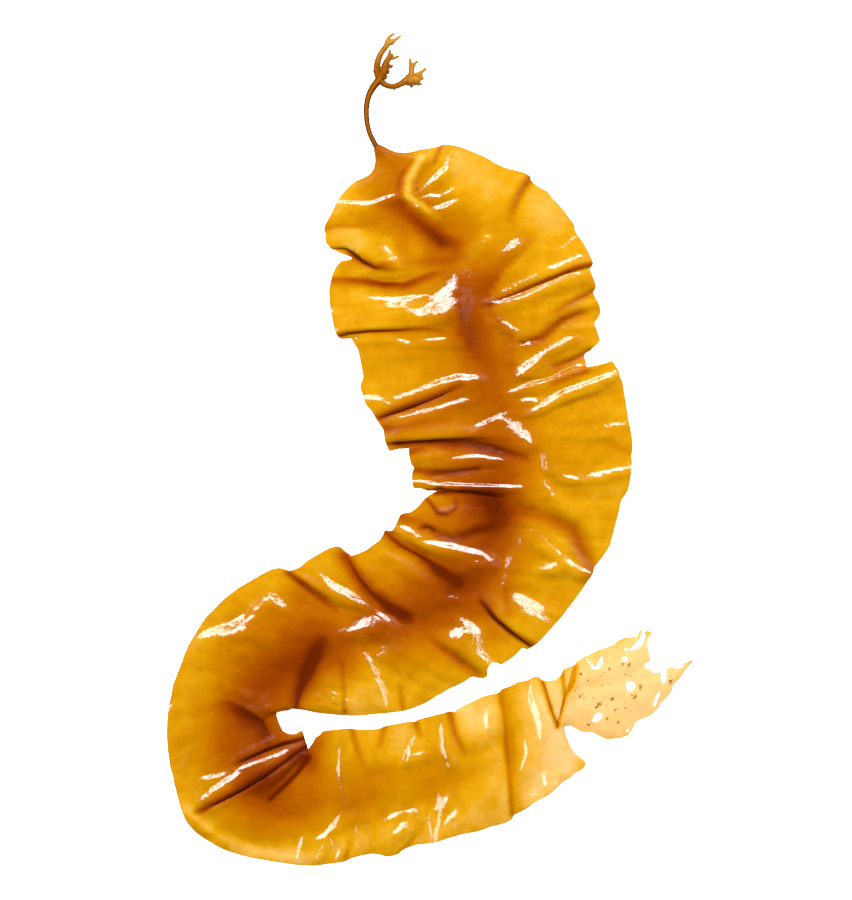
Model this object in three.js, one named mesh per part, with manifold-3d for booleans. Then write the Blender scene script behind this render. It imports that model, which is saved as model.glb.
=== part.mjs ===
// A young kelp frond, lying flat as it was picked: a long ruffled blade bent into an S,
// a thin round stipe, and the three haptera that once gripped the rock.
// Millimetres, +Z up. The origin is on the table under the middle of the frond.
import * as THREE from "three";
import { mergeVertices } from "three/addons/utils/BufferGeometryUtils.js";
import Module from "manifold-3d";

const wasm = await Module();
wasm.setup();

// Driving dimensions, in millimetres
const FROND_SPAN = 333; // from the tip of the longest hapteron to the outer edge of the lower bend
const BLADE_THICKNESS_MIDDLE = 1.3;
const BLADE_THICKNESS_MARGIN = 0.9;
const FLANK_BULGE = 2.6; // how far each half of the blade puffs up between its flat middle and its margin
const MIDDLE_SHARE = 0.2; // of the blade's half width, the thick middle band that lies flat on the table
const STIPE_DIAMETER = 2.1;
const HAPTERON_DIAMETER = 2.2;

// Outlines are drawn in sketch units: x to the right, y down, one unit per picture element of the reference.
const SKETCH_SPAN = 832; // the frond's span in sketch units
const SKETCH_MIDDLE = { x: 428.5, y: 449 };
const UNIT = FROND_SPAN / SKETCH_SPAN;

// Mesh fineness
const STATION_SPACING = 11.5; // sketch units between stations along the blade
const CELLS_ACROSS = 10;
const TUBE_SIDES = 7;

const BLADE_COLOUR = 0xe59a0c;
const STIPE_COLOUR = 0x9a4d08;
const HAPTERON_COLOUR = 0xb8700f;

const place = (x, y, z = 0) => new THREE.Vector3((x - SKETCH_MIDDLE.x) * UNIT, (SKETCH_MIDDLE.y - y) * UNIT, z);

// The blade is ruled by ribs: each joins a point of the left margin to one of the right margin,
// [left x, left y, right x, right y], from the stipe to the torn tip, and lies along the ruffles.
const RIBS = [
  [377.5, 152, 384, 150.5], [378, 162, 394, 155], [372, 176, 412, 153], [356, 182, 440, 146],
  [340, 197, 475, 152], [330, 216, 505, 168], [324, 230, 530, 176], [327, 244, 548, 193],
  [338, 252, 560, 206], [353, 257.5, 571, 220], [342, 261, 577, 235], [334, 271, 586, 248],
  [330, 282, 593, 263], [329, 294, 589, 269], [331, 310, 596, 288], [333, 322, 592, 293],
  [337, 334, 600, 308], [342, 339.5, 595, 322], [351, 335, 600, 341], [358, 349, 591, 350],
  [362, 366, 584, 355], [361, 386, 587, 369.5], [365, 402, 600, 366], [376, 419, 612, 361],
  [384, 431, 618, 375], [388, 451, 623, 390], [408, 447, 626, 405], [410, 463, 630, 428],
  [412, 476, 632, 450], [416, 488.5, 630, 478], [437, 489, 624, 496], [424, 500, 618, 514],
  [403, 513.5, 611, 538], [395, 527, 600, 560], [385, 530, 593, 572], [379, 541, 573, 602],
  [362, 551, 552, 627], [350, 556, 527, 648], [340, 546, 513, 657], [325, 550, 501, 664.5],
  [308, 560, 492, 662], [295, 569, 487, 672], [286, 571, 482, 678], [279, 567.5, 470, 676.5],
  [267, 571, 454, 685], [248, 582, 436, 695], [224, 599, 405, 709], [200, 626, 370, 713],
  [183, 655, 335, 713.5], [172, 690, 304, 707], [167, 718, 290, 709], [167, 745, 277, 709],
  [172, 775, 278, 720], [181, 808, 284, 731], [190, 825, 294, 734], [206, 839, 302, 730],
  [224, 849, 305, 738], [250, 857, 309, 751], [275, 861, 314, 740], [300, 865, 321, 732],
  [330, 863, 345, 729], [345, 861, 362, 730], [355, 856.5, 374, 729.5], [373, 853, 388, 726],
  [386, 856, 402, 723], [399, 853, 416, 721], [408, 846, 430, 716.5], [430, 843, 451, 712],
  [456, 834.5, 468, 704], [488, 828, 484, 697], [512, 819, 498, 693], [514, 814, 506, 688],
  [540, 799, 511, 685], [558, 786, 516, 683], [573, 775, 521, 681.5], [586, 764, 527, 680],
  [575, 757, 536, 677], [564, 744, 546, 681], [558, 729, 557, 679], [560, 727, 562, 672],
  [568, 725, 576, 664.5], [582, 732, 590, 655], [607, 739, 606, 648], [628, 735, 618, 640],
  [634, 725, 632, 637], [640, 720, 641, 632], [650, 716, 650, 628], [659, 708, 660, 630],
  [664, 699, 672, 635], [672, 690, 684, 640], [683, 675, 694, 648], [690, 662, 697, 656],
];

// The outlines [x, y] of what has been torn away: the ragged end of the blade, and one round hole near it
const TORN_END = [
  [641, 600], [641, 634], [638, 641], [632, 646], [623, 648], [629, 651], [640, 648], [644, 640],
  [646, 634], [644, 631], [650, 630.5], [652, 634], [648, 637], [647, 648], [649, 653], [649, 659],
  [644, 664], [646, 668], [650, 669], [652, 672.5], [658, 673], [660, 670], [661, 680], [664, 684],
  [667, 676], [666, 668], [671, 666], [680, 669.5], [684, 665], [684, 662], [690, 659.5], [692, 662],
  [710, 662], [710, 600],
];
const ROUND_HOLE = [
  [630, 680], [634, 682.5], [635.5, 687], [633, 691], [630, 692], [627, 690.5], [625.5, 686], [627, 682],
];

// The relief of the blade. Each fold is a crest or a furrow: points [x, y, height in mm] along its line,
// a furrow's heights being negative, and its half width on the left and on the right of that line.
const FOLDS = [
  // base of the blade and left lobe
  { line: [[422, 156, 2], [409, 184, 3], [407, 197, 3], [432, 214, 2.5], [450, 222, 0]], left: 9, right: 8 },
  { line: [[392, 197, -1], [408, 215, -2.5], [442, 245, -3]], left: 12, right: 12 },
  { line: [[440, 148, -1.5], [433, 170, -0.5]], left: 4, right: 4 },
  { line: [[447, 150, 2], [449, 171, 2.5], [424, 187, 1.5]], left: 8, right: 8 },
  { line: [[334, 203, 2.5], [362, 204, 3], [388, 197, 1]], left: 6, right: 10 },
  { line: [[325, 229, -2], [345, 226, -2], [375, 229, -0.5]], left: 4, right: 4 },
  { line: [[333, 247, 3], [349, 243, 5], [376, 265, 4], [395, 267, 0.5]], left: 16, right: 3.5 },
  { line: [[331, 279, -2], [365, 279, -2], [388, 283, -2.5], [410, 281, -2.5], [430, 274, -0.5]], left: 5, right: 5 },
  { line: [[329, 295, 3], [370, 298, 3.5], [410, 297, 4], [440, 292, 4.5], [458, 278, 1]], left: 12, right: 14 },
  { line: [[339, 334, 4], [350, 327, 4], [372, 326, 3.5], [400, 325, 3], [425, 327, 0.5]], left: 14, right: 3.5 },
  { line: [[530, 177, -2], [520, 195, -2], [510, 218, -1.5]], left: 5, right: 5 },
  // left side of the upper limb
  { line: [[362, 398, 2], [392, 399, 3], [430, 384, 4], [468, 377, 2]], left: 14, right: 8 },
  { line: [[381, 416, -2.5], [400, 408, -3], [430, 396, -3], [458, 385, -1]], left: 4, right: 4 },
  { line: [[385, 425, 2], [410, 418, 3], [440, 410, 2], [470, 398, 0]], left: 6, right: 8 },
  { line: [[387, 441, 4], [405, 434, 4], [440, 433, 3.5], [470, 431, 1]], left: 8, right: 4 },
  { line: [[396, 447, -3], [410, 442, -3], [445, 440, -4], [480, 440, -4], [505, 448, -4], [522, 456, -1]], left: 4, right: 6 },
  { line: [[409, 456, 4], [440, 457, 4], [480, 455, 3], [520, 462, 0.5]], left: 7, right: 9 },
  { line: [[413, 469, -3], [440, 473, -3], [478, 468, -2], [500, 468, 0]], left: 4, right: 5 },
  { line: [[413, 481, 4], [440, 482, 4], [470, 484, 3.5], [520, 487, 1]], left: 5, right: 5 },
  { line: [[436, 491, -2], [462, 492, -4], [500, 500, -4], [510, 515, -2]], left: 5, right: 9 },
  // inner side of the middle bend
  { line: [[428, 500, 2], [445, 503, 3], [458, 500, 1]], left: 8, right: 8 },
  { line: [[402, 514, -1], [436, 530, -2.5], [455, 537, -3], [486, 527, -2]], left: 5, right: 5 },
  { line: [[395, 524, 3], [430, 542, 4.5], [455, 546, 4.5], [490, 559, 2]], left: 8, right: 7 },
  { line: [[386, 532, -3], [402, 543, -4], [425, 555, -4.5], [450, 572, -4.5], [468, 584, -2]], left: 6, right: 9 },
  { line: [[374, 545, 3], [395, 560, 3], [430, 580, 2]], left: 14, right: 14 },
  { line: [[348, 555, -3], [356, 572, -4], [378, 595, -5], [405, 615, -4.5], [425, 620, -1]], left: 6, right: 9 },
  { line: [[318, 556, 5], [328, 578, 5.5], [350, 593, 5], [388, 618, 2.5], [400, 645, 1]], left: 12, right: 9 },
  { line: [[289, 573, -3], [310, 589, -3.5], [340, 609, -1]], left: 4, right: 4 },
  { line: [[280, 568, 3], [272, 595, 3], [250, 612, 2.5], [241, 631, 1]], left: 12, right: 12 },
  // right side of the upper limb
  { line: [[592, 264, -2], [550, 277, -3.5], [500, 296, -3.5], [488, 303, -2]], left: 3, right: 3 },
  { line: [[590, 270, 3], [550, 283, 4], [520, 295, 4], [495, 308, 2]], left: 14, right: 4 },
  { line: [[590, 257, 2.5], [560, 262, 2.5], [530, 275, 1.5]], left: 6, right: 10 },
  { line: [[594, 291, -2.5], [570, 303, -3], [553, 313, -1]], left: 4, right: 4 },
  { line: [[600, 305, 3], [575, 310, 3], [550, 320, 2]], left: 5, right: 5 },
  { line: [[578, 314, -2], [560, 322, -3], [540, 338, -3], [515, 349, -2.5]], left: 5, right: 5 },
  { line: [[598, 332, 3], [570, 337, 3.5], [545, 348, 4], [522, 363, 3]], left: 12, right: 6 },
  { line: [[584, 354, -2.5], [565, 365, -3], [545, 375, -1]], left: 4, right: 5 },
  { line: [[612, 365, 4], [587, 375, 4], [555, 388, 3], [530, 397, 1]], left: 13, right: 4 },
  { line: [[631, 432, 2], [600, 432, 3], [570, 434, 2]], left: 6, right: 9 },
  { line: [[632, 458, -2.5], [612, 446, -2], [590, 440, -0.5]], left: 5, right: 5 },
  { line: [[631, 469, 3], [600, 473, 2.5], [575, 477, 3], [556, 470, 2]], left: 10, right: 8 },
  { line: [[621, 501, -1.5], [590, 503, -2], [562, 498, -1.5]], left: 8, right: 8 },
  // outer side of the middle bend
  { line: [[593, 571, -3.5], [583, 548, -4], [573, 528, -4], [545, 516, -3.5], [512, 505, -2]], left: 7, right: 8 },
  { line: [[591, 577, 3], [575, 562, 5], [555, 545, 5], [530, 526, 3]], left: 9, right: 7 },
  { line: [[560, 610, 3], [535, 608, 3.5], [515, 595, 2]], left: 12, right: 12 },
  { line: [[528, 641, -3.5], [510, 630, -4], [490, 613, -4], [481, 600, -2]], left: 5, right: 4 },
  { line: [[541, 634, 3], [520, 622, 4], [500, 608, 4], [490, 597, 2]], left: 6, right: 10 },
  { line: [[495, 662, 3], [478, 640, 4], [465, 622, 3]], left: 8, right: 11 },
  { line: [[475, 672, -3], [450, 652, -3.5], [430, 640, -1.5]], left: 5, right: 6 },
  { line: [[462, 680, 2.5], [440, 672, 2.5], [415, 655, 1]], left: 10, right: 8 },
  { line: [[388, 711, 3], [380, 690, 3.5], [368, 660, 2.5]], left: 7, right: 6 },
  { line: [[403, 709, -2], [400, 680, -2], [392, 668, 0]], left: 5, right: 5 },
  { line: [[346, 713, -2], [345, 685, -2], [345, 660, -0.5]], left: 5, right: 5 },
  // middle of the blade along the lower bend
  { line: [[470, 590, -1.5], [430, 630, -2], [380, 640, -1.5], [320, 640, -2], [260, 665, -2], [235, 700, -2]], left: 16, right: 16 },
  // lower bend, folds that run to the inner corner
  { line: [[290, 706, -4], [300, 686, -4.5], [312, 664, -4.5], [321, 645, -3]], left: 5, right: 5 },
  { line: [[298, 705, 3], [310, 690, 3], [330, 670, 2]], left: 7, right: 12 },
  { line: [[268, 738, -3.5], [258, 722, -4], [243, 711, -3.5], [226, 700, -1]], left: 6, right: 6 },
  { line: [[276, 714, 3], [262, 700, 3], [250, 690, 2]], left: 8, right: 8 },
  { line: [[296, 738, -3], [275, 745, -3.5], [240, 757, -2.5]], left: 5, right: 5 },
  { line: [[299, 744, 4], [270, 760, 4.5], [235, 777, 4], [204, 800, 3]], left: 5, right: 8 },
  { line: [[303, 757, -4], [292, 754, -4.5], [262, 776, -4.5], [230, 796, -3.5], [200, 811, -1.5]], left: 5, right: 5 },
  { line: [[300, 762, 3], [280, 775, 3.5], [258, 790, 2]], left: 5, right: 5 },
  { line: [[307, 763, -3], [290, 782, -4], [268, 800, -2.5]], left: 5, right: 5 },
  // tail: pleats of its upper margin, from left to right
  { line: [[343, 730, 3], [338, 765, 3], [342, 800, 1.5]], left: 6, right: 6 },
  { line: [[354, 730, -2.5], [362, 762, -1]], left: 4, right: 4 },
  { line: [[384, 727, -2.5], [379, 752, -0.5]], left: 4, right: 4 },
  { line: [[411, 723, 3.5], [409, 755, 2]], left: 6, right: 6 },
  { line: [[440, 716, 3.5], [443, 745, 3], [449, 766, 1.5]], left: 6, right: 6 },
  { line: [[452, 713, -3], [455, 745, -1]], left: 5, right: 5 },
  { line: [[475, 702, 3], [478, 740, 2]], left: 12, right: 12 },
  { line: [[502, 691, -2.5], [508, 735, -2.5], [510, 790, -2], [512, 812, -2]], left: 6, right: 6 },
  { line: [[531, 681, 3.5], [534, 710, 3.5], [540, 740, 2], [530, 790, 1]], left: 9, right: 9 },
  { line: [[543, 682, -2.5], [550, 708, -3], [556, 727, -3]], left: 5, right: 5 },
  { line: [[574, 665, 2.5], [570, 690, 2.5], [560, 722, 1.5]], left: 8, right: 4 },
  // tail: ruffles of its lower margin, from left to right
  { line: [[187, 820, 2], [205, 836, 2.5], [235, 850, 2]], left: 6, right: 6 },
  { line: [[302, 863, 3], [301, 838, 1.5]], left: 7, right: 7 },
  { line: [[336, 860, 3], [329, 828, 1.5]], left: 7, right: 7 },
  { line: [[389, 855, 3], [391, 822, 1.5]], left: 7, right: 7 },
  { line: [[438, 839, 3], [438, 806, 1.5]], left: 7, right: 7 },
];

const clamp01 = (value) => Math.min(1, Math.max(0, value));

// Height of one fold at a point, in millimetres: full on its line, fading to nothing beside it.
function foldHeight(fold, x, y) {
  let best = { distance: Infinity };
  for (let i = 0; i + 1 < fold.line.length; i++) {
    const [ax, ay, ah] = fold.line[i];
    const [bx, by, bh] = fold.line[i + 1];
    const along = clamp01(((x - ax) * (bx - ax) + (y - ay) * (by - ay)) / ((bx - ax) ** 2 + (by - ay) ** 2));
    const distance = Math.hypot(x - ax - along * (bx - ax), y - ay - along * (by - ay));
    if (distance < best.distance) {
      const side = (bx - ax) * (y - ay) - (by - ay) * (x - ax);
      best = { distance, height: ah + along * (bh - ah), width: side < 0 ? fold.left : fold.right };
    }
  }
  return best.height * Math.exp(-((best.distance / best.width) ** 2));
}

// Height of the blade's underside above the table. across runs from -1 at the left margin to 1 at the right one.
function undersideHeight(x, y, across) {
  const flank = clamp01((Math.abs(across) - MIDDLE_SHARE) / (1 - MIDDLE_SHARE));
  const bulge = FLANK_BULGE * Math.sin(Math.PI * flank);
  const relief = FOLDS.reduce((sum, fold) => sum + foldHeight(fold, x, y), 0);
  return Math.max(0, bulge + relief);
}

// Points [x, y] along a margin, one for each station, passing through every rib's end.
function marginCurve(column) {
  const ends = RIBS.map((rib) => new THREE.Vector3(rib[column], rib[column + 1], 0));
  return new THREE.CatmullRomCurve3(ends, false, "centripetal");
}

function ruledStations() {
  const left = marginCurve(0);
  const right = marginCurve(2);
  const lastRib = RIBS.length - 1;
  const stations = [];
  for (let rib = 0; rib < lastRib; rib++) {
    const [ax, ay, bx, by] = RIBS[rib];
    const [cx, cy, dx, dy] = RIBS[rib + 1];
    const steps = Math.max(1, Math.round(Math.max(Math.hypot(cx - ax, cy - ay), Math.hypot(dx - bx, dy - by)) / STATION_SPACING));
    for (let step = 0; step < steps; step++) {
      const at = (rib + step / steps) / lastRib;
      stations.push(acrossRib(left.getPoint(at), right.getPoint(at)));
    }
  }
  stations.push(acrossRib(left.getPoint(1), right.getPoint(1)));
  return stations;
}

// The points of one straight rib, from the left margin to the right one
function acrossRib(from, to) {
  return Array.from({ length: CELLS_ACROSS + 1 }, (_, cell) => from.clone().lerp(to, cell / CELLS_ACROSS));
}

function solidOf(geometry) {
  geometry.deleteAttribute("normal");
  geometry.deleteAttribute("uv");
  const merged = mergeVertices(geometry);
  const solid = new wasm.Manifold(new wasm.Mesh({
    numProp: 3,
    vertProperties: merged.attributes.position.array,
    triVerts: new Uint32Array(merged.index.array),
  }));
  if (solid.volume() > 0) return solid;
  throw new Error("a solid is inside out");
}

function geometryOf(solid) {
  const mesh = solid.getMesh();
  return new THREE.BufferGeometry()
    .setAttribute("position", new THREE.BufferAttribute(new Float32Array(mesh.vertProperties), 3))
    .setIndex(new THREE.BufferAttribute(new Uint32Array(mesh.triVerts), 1));
}

// A cutter with the given outline, straight down through everything
function punch(outline) {
  const corners = outline.map(([x, y]) => place(x, y)).map(({ x, y }) => new THREE.Vector2(x, y));
  const depth = 60;
  return solidOf(new THREE.ExtrudeGeometry(new THREE.Shape(corners), { depth, bevelEnabled: false })
    .translate(0, 0, -depth / 2));
}

// The whole ruffled sheet, before anything was torn from it
function sheetGeometry() {
  const stations = ruledStations();
  const columns = CELLS_ACROSS + 1;
  const positions = [];
  for (const layer of [0, 1]) {
    for (const station of stations) {
      station.forEach((point, cell) => {
        const across = (2 * cell) / CELLS_ACROSS - 1;
        const thickness = THREE.MathUtils.lerp(BLADE_THICKNESS_MIDDLE, BLADE_THICKNESS_MARGIN, across ** 2);
        const z = undersideHeight(point.x, point.y, across) + layer * thickness;
        positions.push(...place(point.x, point.y, z).toArray());
      });
    }
  }
  const under = (station, cell) => station * columns + cell;
  const upper = (station, cell) => stations.length * columns + station * columns + cell;
  const faces = [];
  const quad = (a, b, c, d) => faces.push(a, b, c, a, c, d);
  const last = stations.length - 1;
  for (let i = 0; i < last; i++) {
    for (let j = 0; j < CELLS_ACROSS; j++) {
      quad(upper(i, j), upper(i + 1, j), upper(i + 1, j + 1), upper(i, j + 1));
      quad(under(i, j), under(i, j + 1), under(i + 1, j + 1), under(i + 1, j));
    }
    quad(under(i, 0), under(i + 1, 0), upper(i + 1, 0), upper(i, 0));
    quad(under(i + 1, CELLS_ACROSS), under(i, CELLS_ACROSS), upper(i, CELLS_ACROSS), upper(i + 1, CELLS_ACROSS));
  }
  for (let j = 0; j < CELLS_ACROSS; j++) {
    quad(under(0, j + 1), under(0, j), upper(0, j), upper(0, j + 1));
    quad(under(last, j), under(last, j + 1), upper(last, j + 1), upper(last, j));
  }
  return new THREE.BufferGeometry()
    .setAttribute("position", new THREE.Float32BufferAttribute(positions, 3))
    .setIndex(faces);
}

const bladeGeometry = () =>
  geometryOf(solidOf(sheetGeometry()).subtract(punch(TORN_END)).subtract(punch(ROUND_HOLE)));

// A round limb along a smooth line of points [x, y, height of its axis in mm, radius in mm], closed at both ends
function limbSolid(points, stationsPerSpan = 2) {
  const raised = points.map(([x, y, z, radius]) => place(x, y, Math.max(z, radius)));
  const axis = new THREE.CatmullRomCurve3(raised, false, "centripetal");
  const spans = points.length - 1;
  const count = spans * stationsPerSpan;
  const up = new THREE.Vector3(0, 0, 1);
  const positions = [];
  for (let i = 0; i <= count; i++) {
    const at = i / count;
    const span = Math.min(spans - 1, Math.floor(at * spans));
    const radius = THREE.MathUtils.lerp(points[span][3], points[span + 1][3], at * spans - span);
    const centre = axis.getPoint(at);
    const sideways = new THREE.Vector3().crossVectors(up, axis.getTangent(at)).normalize();
    for (let side = 0; side < TUBE_SIDES; side++) {
      const angle = (2 * Math.PI * side) / TUBE_SIDES;
      const rim = centre.clone().addScaledVector(sideways, radius * Math.cos(angle)).addScaledVector(up, radius * Math.sin(angle));
      positions.push(...rim.toArray());
    }
  }
  positions.push(...axis.getPoint(0).toArray(), ...axis.getPoint(1).toArray());
  const ring = (i, side) => i * TUBE_SIDES + (side % TUBE_SIDES);
  const startCap = (count + 1) * TUBE_SIDES;
  const faces = [];
  for (let side = 0; side < TUBE_SIDES; side++) {
    for (let i = 0; i < count; i++) {
      faces.push(ring(i, side), ring(i + 1, side + 1), ring(i + 1, side));
      faces.push(ring(i, side), ring(i, side + 1), ring(i + 1, side + 1));
    }
    faces.push(startCap, ring(0, side + 1), ring(0, side));
    faces.push(startCap + 1, ring(count, side), ring(count, side + 1));
  }
  return solidOf(new THREE.BufferGeometry()
    .setAttribute("position", new THREE.Float32BufferAttribute(positions, 3))
    .setIndex(faces));
}

const joined = (solids) => geometryOf(solids.reduce((whole, solid) => whole.add(solid)));

const STIPE_RADIUS = STIPE_DIAMETER / 2;
const HAPTERON_RADIUS = HAPTERON_DIAMETER / 2;
const TIP_RADIUS = 0.45; // of the finest haptera

// The stipe leaves the blade's base, bows to the left and ends under the haptera.
function stipeGeometry() {
  const r = STIPE_RADIUS;
  return joined([limbSolid([
    [378.4, 150, r, 1.1 * r], [374.5, 143, r, r], [368.3, 130, r, 0.95 * r], [366.3, 115, r, 0.95 * r],
    [367.5, 99, r, r], [371, 91, r, 1.1 * r], [375.5, 84, r, 1.3 * r],
  ])]);
}

// The hapteron that reaches furthest, with a split tip
function longHapteronGeometry() {
  const r = HAPTERON_RADIUS;
  return joined([
    limbSolid([[377.5, 76, r, r], [377, 68, r, r], [378.5, 59, r, 0.95 * r], [383, 50, r, 0.95 * r], [390, 43, r, 0.9 * r]]),
    limbSolid([[387.8, 46, r, 0.9], [388, 38, r, TIP_RADIUS], [394.3, 33.4, r, TIP_RADIUS]]),
    limbSolid([[389, 44, r, 0.9], [395, 40.5, r, TIP_RADIUS], [400.3, 36, r, TIP_RADIUS]]),
  ]);
}

// The short stubby hapteron beside it, with three twigs
function shortHapteronGeometry() {
  const r = HAPTERON_RADIUS;
  return joined([
    limbSolid([[383.5, 76, r, 1.1 * r], [384.5, 69.5, r, 1.35 * r], [386.5, 62, r, 0.95 * r], [391, 55, r, 0.8 * r]]),
    limbSolid([[390, 57, r, 0.7], [389.6, 50.5, r, TIP_RADIUS]]),
    limbSolid([[389.5, 57, r, 0.7], [394, 58.6, r, TIP_RADIUS], [398.3, 56, r, TIP_RADIUS]]),
    limbSolid([[385.5, 67, r, 0.9], [392.5, 66.7, r, 1.3 * TIP_RADIUS]]),
  ]);
}

// The hapteron that curves away to the right and widens into a small hand
function curvedHapteronGeometry() {
  const r = HAPTERON_RADIUS;
  return joined([
    limbSolid([[381.5, 83, r, 1.1 * r], [386, 86, r, r], [393, 87, r, r], [400, 84.5, r, r], [406, 81, r, 1.2 * r],
      [413, 78, r, 1.4 * r], [420, 77.5, r, 0.9 * r]]),
    limbSolid([[404, 83, r, 0.8 * r], [412, 83.5, r, 1.5 * r], [420.5, 82, r, r]]),
    limbSolid([[411.5, 79, r, 1.2 * r], [411.6, 71, r, 0.9 * r], [410, 59, r, TIP_RADIUS]]),
    limbSolid([[412, 70, r, 0.7], [413.5, 65, r, TIP_RADIUS], [417.3, 61.3, r, TIP_RADIUS]]),
    limbSolid([[414, 78, r, r], [420, 74.3, r, 0.7], [425.5, 69, r, TIP_RADIUS]]),
  ]);
}

function piece(name, geometry, colour, roughness) {
  const material = new THREE.MeshStandardMaterial({ color: colour, roughness, metalness: 0 });
  const mesh = new THREE.Mesh(geometry, material);
  mesh.name = name;
  return mesh;
}

const frond = new THREE.Group();
frond.name = "kelp_frond";
frond.add(
  piece("blade", bladeGeometry(), BLADE_COLOUR, 0.25),
  piece("stipe", stipeGeometry(), STIPE_COLOUR, 0.3),
  piece("long_hapteron", longHapteronGeometry(), HAPTERON_COLOUR, 0.4),
  piece("short_hapteron", shortHapteronGeometry(), HAPTERON_COLOUR, 0.4),
  piece("curved_hapteron", curvedHapteronGeometry(), HAPTERON_COLOUR, 0.4),
);

export default frond;
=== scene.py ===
# %% [markdown]
# # A young kelp frond, wet and laid flat
# The plant has three kinds of part: a broad ruffled blade, a thin stalk called the stipe, and the
# branched haptera that once gripped the rock. The imported model gives the frame and the sizes, and this
# file gives each part its real surface. It starts by loading the frame.

import math

import bpy
import numpy as np
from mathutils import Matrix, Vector, noise


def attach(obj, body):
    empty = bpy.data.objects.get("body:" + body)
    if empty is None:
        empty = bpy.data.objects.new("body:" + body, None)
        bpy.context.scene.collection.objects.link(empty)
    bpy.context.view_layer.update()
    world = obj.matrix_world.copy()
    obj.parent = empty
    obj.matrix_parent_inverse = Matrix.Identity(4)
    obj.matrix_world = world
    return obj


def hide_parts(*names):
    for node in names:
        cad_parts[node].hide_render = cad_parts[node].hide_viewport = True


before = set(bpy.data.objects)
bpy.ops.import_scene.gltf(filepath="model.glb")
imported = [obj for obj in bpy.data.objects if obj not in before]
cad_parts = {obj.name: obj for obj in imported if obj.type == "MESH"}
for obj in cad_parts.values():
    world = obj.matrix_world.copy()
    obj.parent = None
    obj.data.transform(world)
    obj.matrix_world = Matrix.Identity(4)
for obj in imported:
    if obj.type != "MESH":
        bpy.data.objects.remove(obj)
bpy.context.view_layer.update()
bpy.ops.object.select_all(action="DESELECT")
print("nodes:", sorted(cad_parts))

# %% [markdown]
# ## One drawing for every piece
# The frond was drawn from above on squared paper: x to the right, y down the page, one square to 0.4 mm.
# A helper lays such a point on the table in metres, so that every piece shares one drawing and one scale.
# The other helpers work on many points at once with numpy, because the blade has tens of thousands.

# %% The drawing's scale
SQUARE = 0.0004
MIDDLE = (428.5, 449.0)
MM = 0.001


def lay(x, y, z=0.0):
    """A drawing point, and a height in metres, as a place in the scene."""
    return ((x - MIDDLE[0]) * SQUARE, (MIDDLE[1] - y) * SQUARE, z)


print("the drawing's middle lies at", lay(*MIDDLE))

# %% Lines drawn through points
def drawn_line(points, step=0.5, softness=1.2):
    """An even row of places along a line through the points, with its corners slightly rounded."""
    points = np.array(points, float)
    gaps = np.hypot(*np.diff(points, axis=0).T)
    reach = np.concatenate([[0], np.cumsum(gaps)])
    even = np.linspace(0, reach[-1], int(reach[-1] / step) + 1)
    line = np.column_stack([np.interp(even, reach, points[:, k]) for k in range(points.shape[1])])
    radius = int(3 * softness / step)
    bell = np.exp(-0.5 * (np.arange(-radius, radius + 1) * step / softness) ** 2)
    bell /= bell.sum()
    padded = np.vstack([
        2 * line[0] - line[radius:0:-1],
        line,
        2 * line[-1] - line[-2:-radius - 2:-1],
    ])
    return np.column_stack([np.convolve(padded[:, k], bell, "valid") for k in range(line.shape[1])])


print("places on a line of 10 squares:", len(drawn_line([(0, 0), (10, 0)])))

# %% Strokes of a soft brush
def beside(x, y, points):
    """The distance to a stroke of (x, y, value) points, the side of it, and its value and heading there."""
    nearest = np.full(x.shape, np.inf)
    value = np.zeros(x.shape)
    side = np.zeros(x.shape)
    heading = np.zeros(x.shape)
    for (ax, ay, av), (bx, by, bv) in zip(points, points[1:]):
        dx, dy = bx - ax, by - ay
        along = np.clip(((x - ax) * dx + (y - ay) * dy) / (dx * dx + dy * dy), 0, 1)
        away = np.hypot(x - ax - along * dx, y - ay - along * dy)
        closer = away < nearest
        nearest = np.where(closer, away, nearest)
        value = np.where(closer, av + along * (bv - av), value)
        side = np.where(closer, dx * (y - ay) - dy * (x - ax), side)
        heading = np.where(closer, math.atan2(dy, dx), heading)
    return nearest, side, value, heading


def stroke(x, y, points, left, right):
    """How strongly a brush marks each place, and the stroke's value there. It may be softer on one side."""
    nearest, side, value, _ = beside(x, y, points)
    width = np.where(side < 0, left, right)
    return np.exp(-((nearest / width) ** 2)), value


def painted(x, y, strokes):
    """The sum of many strokes, each (left, right, [(x, y, value), ...])."""
    total = np.zeros(x.shape)
    for left, right, points in strokes:
        strength, value = stroke(x, y, points, left, right)
        total += strength * value
    return total


print("helpers ready; one square is", SQUARE / MM, "mm")

# %% [markdown]
# ## The camera
# The frond is seen from straight above. A long lens keeps the far folds the same size as the near ones,
# so the outline can be compared with the drawing point by point. The camera comes first, so that every
# later piece can be looked at as soon as it is made.

# %% Camera straight above
LENS = 180.0
PICTURE = (852, 900)
VIEW_HEIGHT = PICTURE[1] * SQUARE
distance = LENS / 36.0 * VIEW_HEIGHT
centre_x, centre_y, _ = lay(PICTURE[0] / 2, PICTURE[1] / 2)
bpy.ops.object.camera_add(location=(centre_x, centre_y, distance), rotation=(0, 0, 0))
camera = bpy.context.object
camera.name = "overhead_camera"
camera.data.lens = LENS
camera.data.sensor_width = 36.0
camera.data.clip_end = 20.0
bpy.context.scene.camera = camera
print("camera at", round(distance, 3), "m above the table")

# %% [markdown]
# ## The blade's outline
# A kelp blade is one sheet. Each side has a margin that runs from the stipe to the torn tip. Each margin
# is drawn as a row of points, close together where the edge is notched or curled. Ribs then join a point of
# one margin to one of the other, along the ruffles, so that the rows of the mesh follow the real folds.

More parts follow.
